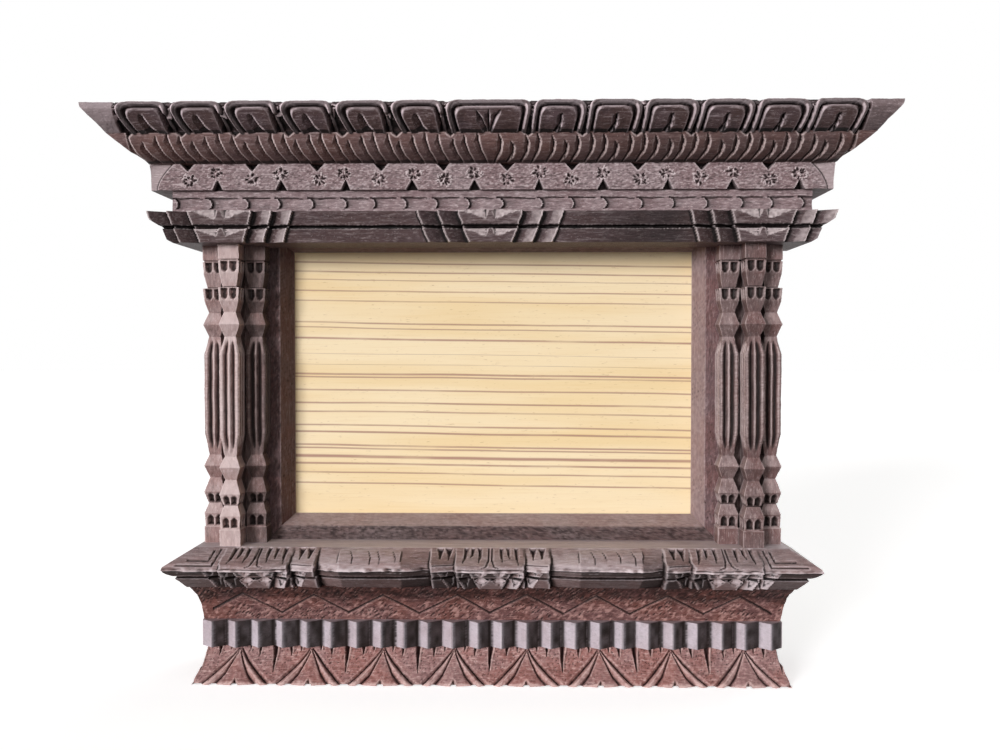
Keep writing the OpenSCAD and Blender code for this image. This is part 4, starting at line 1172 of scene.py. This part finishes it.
TEETH_COUNT, TOOTH_ROOT = 24, 32.0  # the depth between two teeth
TOOTH_PITCH = 2 * TOOTH_HALF / TEETH_COUNT
rand = np.random.default_rng(9)
knots = [(-TOOTH_HALF, TOOTH_ROOT)]
for i in range(TEETH_COUNT):
    knots.append((-TOOTH_HALF + (i + 0.46) * TOOTH_PITCH + rand.uniform(-0.45, 0.45),
                  TOOTH_D - 0.25 + rand.uniform(-0.3, 0.25)))
    shift = rand.uniform(-0.45, 0.45) if i < TEETH_COUNT - 1 else 0.0
    knots.append((-TOOTH_HALF + (i + 1) * TOOTH_PITCH + shift, TOOTH_ROOT + rand.uniform(-0.2, 0.3)))
knots = np.array(knots)
xx, zz = np.meshgrid(columns(TOOTH_HALF, knots[1:-1, 0], 0.7), np.linspace(0, TOOTH_H, 22))
dd = np.interp(xx, knots[:, 0], knots[:, 1]) + tooling(xx, zz, (0.07, 0.8, 0.35, 92), (0.04, 2.0, 2.0, 93))
flank = (np.searchsorted(knots[:, 0], xx, side="right") - 1) % 2
# painted light: left flanks pale, right flanks dark with painted shade
tone = np.where(flank == 1, -0.9, 0.3) + 0.1 * noise(xx * 0.6, zz * 0.3, 94)
carved("dentil_carving", "dentil_band", TEETH,
       np.stack([xx, dd, zz + box_mm("dentil_band")[0][2]], 2), tone, sharp=25.0)

# ---- flaring plinth of hanging lotus petals

PETAL_PITCH = 29.1
# across the cord round a petal: height, and a tone that paints highlights on the ridges and shade in the grooves
PLINTH_CORD = ((-0.35, -0.18, 0.0, 0.18, 0.5, 0.82, 1.0, 1.2, 1.4), (0, -0.5, -1.25, 0.15, 0.75, 0.15, -1.1, -0.4, 0))
PLINTH_PAINTED_LIGHT = ((-0.3, -0.05, 0.05, 0.3, 0.55, 0.8, 0.95, 1.1, 1.3), (0, -0.7, -0.4, 0.22, 0.28, 0.1, -0.6, -0.6, 0))
# cuts in a petal: place across, foot, width
STROKES = ((0.0, 3.6, 1.5), (-6.4, 8.6, 1.1), (6.4, 8.6, 1.1), (-10.6, 10.2, 0.8), (10.6, 10.2, 0.8))


def plinth_carve(x, z, d):
    """Hanging petals with strokes inside a cord, tongues between them and nicks at the foot."""
    h = tooling(x, z, (0.12, 0.3, 0.4, 95), (0.08, 1.4, 1.4, 96))
    half = PETAL_PITCH / 2
    x = x + 0.5 * noise(x * 0.04, z * 0.15, 98)
    u = x - np.round(x / PETAL_PITCH) * PETAL_PITCH
    arris = half - np.abs(u)
    t = np.clip(arris / half, 0, 1)
    share = (PLINTH_H * (0.99 - 1.03 * t ** 0.72) - z) / (3.5 * np.clip(0.35 + 2.2 * t, 0, 1))
    h = h + np.interp(share, *PLINTH_CORD) * ramp(t, 0.0, 0.05)
    petal = share < -0.1
    h = np.where(share > 1.1, h + 0.9 * np.clip(1 - arris / 7, 0, 1), h)
    h = h + pits(x * 0.8 + z * 0.5, z * 0.8 - x * 0.4, 0.95, 0.5, 0.34, 97, 0.6) * np.where(petal, 1.0, 0.4)
    tone = np.interp(share, *PLINTH_PAINTED_LIGHT) * ramp(t, 0, 0.05) + 0.2 * noise(x * 1.2, z * 1.2, 99)
    for c, foot, w in STROKES:
        width = w * np.clip((z - foot) / (PLINTH_H - foot), 0, 1) + 0.05
        side = u - c
        wall = np.where(side > 0, 0.55, 1.1)
        cut = -2.2 * np.clip((z - foot) / 4.0, 0, 1) * np.clip(1 - np.abs(side) / (width * wall), 0, 1)
        lip = 0.5 * np.clip(1 - np.abs(side - width * 0.8) / 0.6, 0, 1) * np.clip((z - foot) / 2, 0, 1)
        h = np.where(petal, np.minimum(h + lip, np.where(cut < 0, cut, UNCUT)), h)
        # painted shade in the strokes, painted highlight on their lips
        tone = np.where(petal & (cut < -0.5), -0.8, np.where(petal & (lip > 0.2), 0.35, tone))
    nick = np.clip(2.0 - z - arris * 1.2, 0, 2)
    h = np.minimum(h, -2.6 * np.clip(nick, 0, 1) + 1.0)
    # painted shade in the nicks at the foot
    return h, np.zeros_like(x), np.where(nick > 0.3, -0.8, tone)


path = soften(resample(spline([(41.4, 0), (42, 0.8), (36.5, 5.46), (32.54, 9.88), (31, PLINTH_H)]), 0.42))
path[:, 1] = np.clip(path[:, 1], 0, PLINTH_H)
ends = [(0, PLINTH_TIP), (5.46, 117), (PLINTH_H, 115.4)]
bar("plinth_carving", "lotus_plinth", BASE, path, columns(PLINTH_TIP), ends, 112, plinth_carve)

# ---- pale striped board

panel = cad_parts["back_panel"]
panel.data.materials.clear()
panel.data.materials.append(board())

# ---- stage, light and camera

WHITE = (1.0, 1.0, 1.0)


def camera_white(tree):
    """1 for rays that show the background, seen directly, in a reflection or through a surface."""
    path = tree.nodes.new("ShaderNodeLightPath")
    seen = math_node(tree, "MAXIMUM", path.outputs["Is Camera Ray"], path.outputs["Is Glossy Ray"])
    return math_node(tree, "MAXIMUM", seen, path.outputs["Is Transmission Ray"])


floor_mat, tree, surface = new_material("floor")
surface.inputs["Roughness"].default_value = 0.95
surface.inputs["Specular IOR Level"].default_value = 0.0
surface.inputs["Emission Color"].default_value = (*WHITE, 1.0)
tree.links.new(math_node(tree, "MULTIPLY", camera_white(tree), 0.54), surface.inputs["Emission Strength"])
tree.links.new(mix_node(tree, camera_white(tree), (0.20, 0.19, 0.18), WHITE), surface.inputs["Base Color"])
bpy.ops.mesh.primitive_plane_add(size=12)
floor = bpy.context.object
floor.name = "floor"
floor.data.materials.append(floor_mat)

world = bpy.data.worlds.new("studio")
bpy.context.scene.world = world
world.use_nodes = True
tree = world.node_tree
sky = tree.nodes["Background"]
tree.links.new(mix_node(tree, camera_white(tree), (0.07, 0.067, 0.064), WHITE), sky.inputs["Color"])


def lamp(name, level, softness, azimuth, elevation, color):
    """Distant soft lamp: level 1 lights a facing white surface to white; azimuth is to the right of the front."""
    light = bpy.data.lights.new(name, "SUN")
    light.energy = level * math.pi
    light.angle = math.radians(softness)
    light.color = color
    obj = bpy.data.objects.new(name, light)
    bpy.context.collection.objects.link(obj)
    obj.rotation_euler = (math.radians(90 - elevation), 0, math.radians(azimuth))


lamp("key", 0.91, 16, -31, 9, (1.0, 0.985, 1.0))
lamp("fill", 0.35, 60, -2, 4, (1.0, 0.98, 0.96))
lamp("top", 0.20, 60, -20, 75, (1.0, 0.99, 0.98))
lamp("back", 0.42, 60, 140, 12, (1.0, 0.99, 0.98))

CAMERA_X, CAMERA_D, CAMERA_Z = 10.8, 430.9, 132.6  # fitted to the photo, in millimetres
CAMERA_DOWN, CAMERA_LEFT = 1.36, 1.02  # degrees it is turned down and to the left
cam = bpy.data.cameras.new("camera")
cam.lens = 35.64
cam.sensor_width = 36
view = bpy.data.objects.new("camera", cam)
bpy.context.collection.objects.link(view)
view.location = (CAMERA_X * MM, (BACK - CAMERA_D) * MM, CAMERA_Z * MM)
view.rotation_euler = (math.radians(90 - CAMERA_DOWN), 0, math.radians(CAMERA_LEFT))
bpy.context.scene.camera = view
bpy.context.scene.view_settings.view_transform = "Standard"
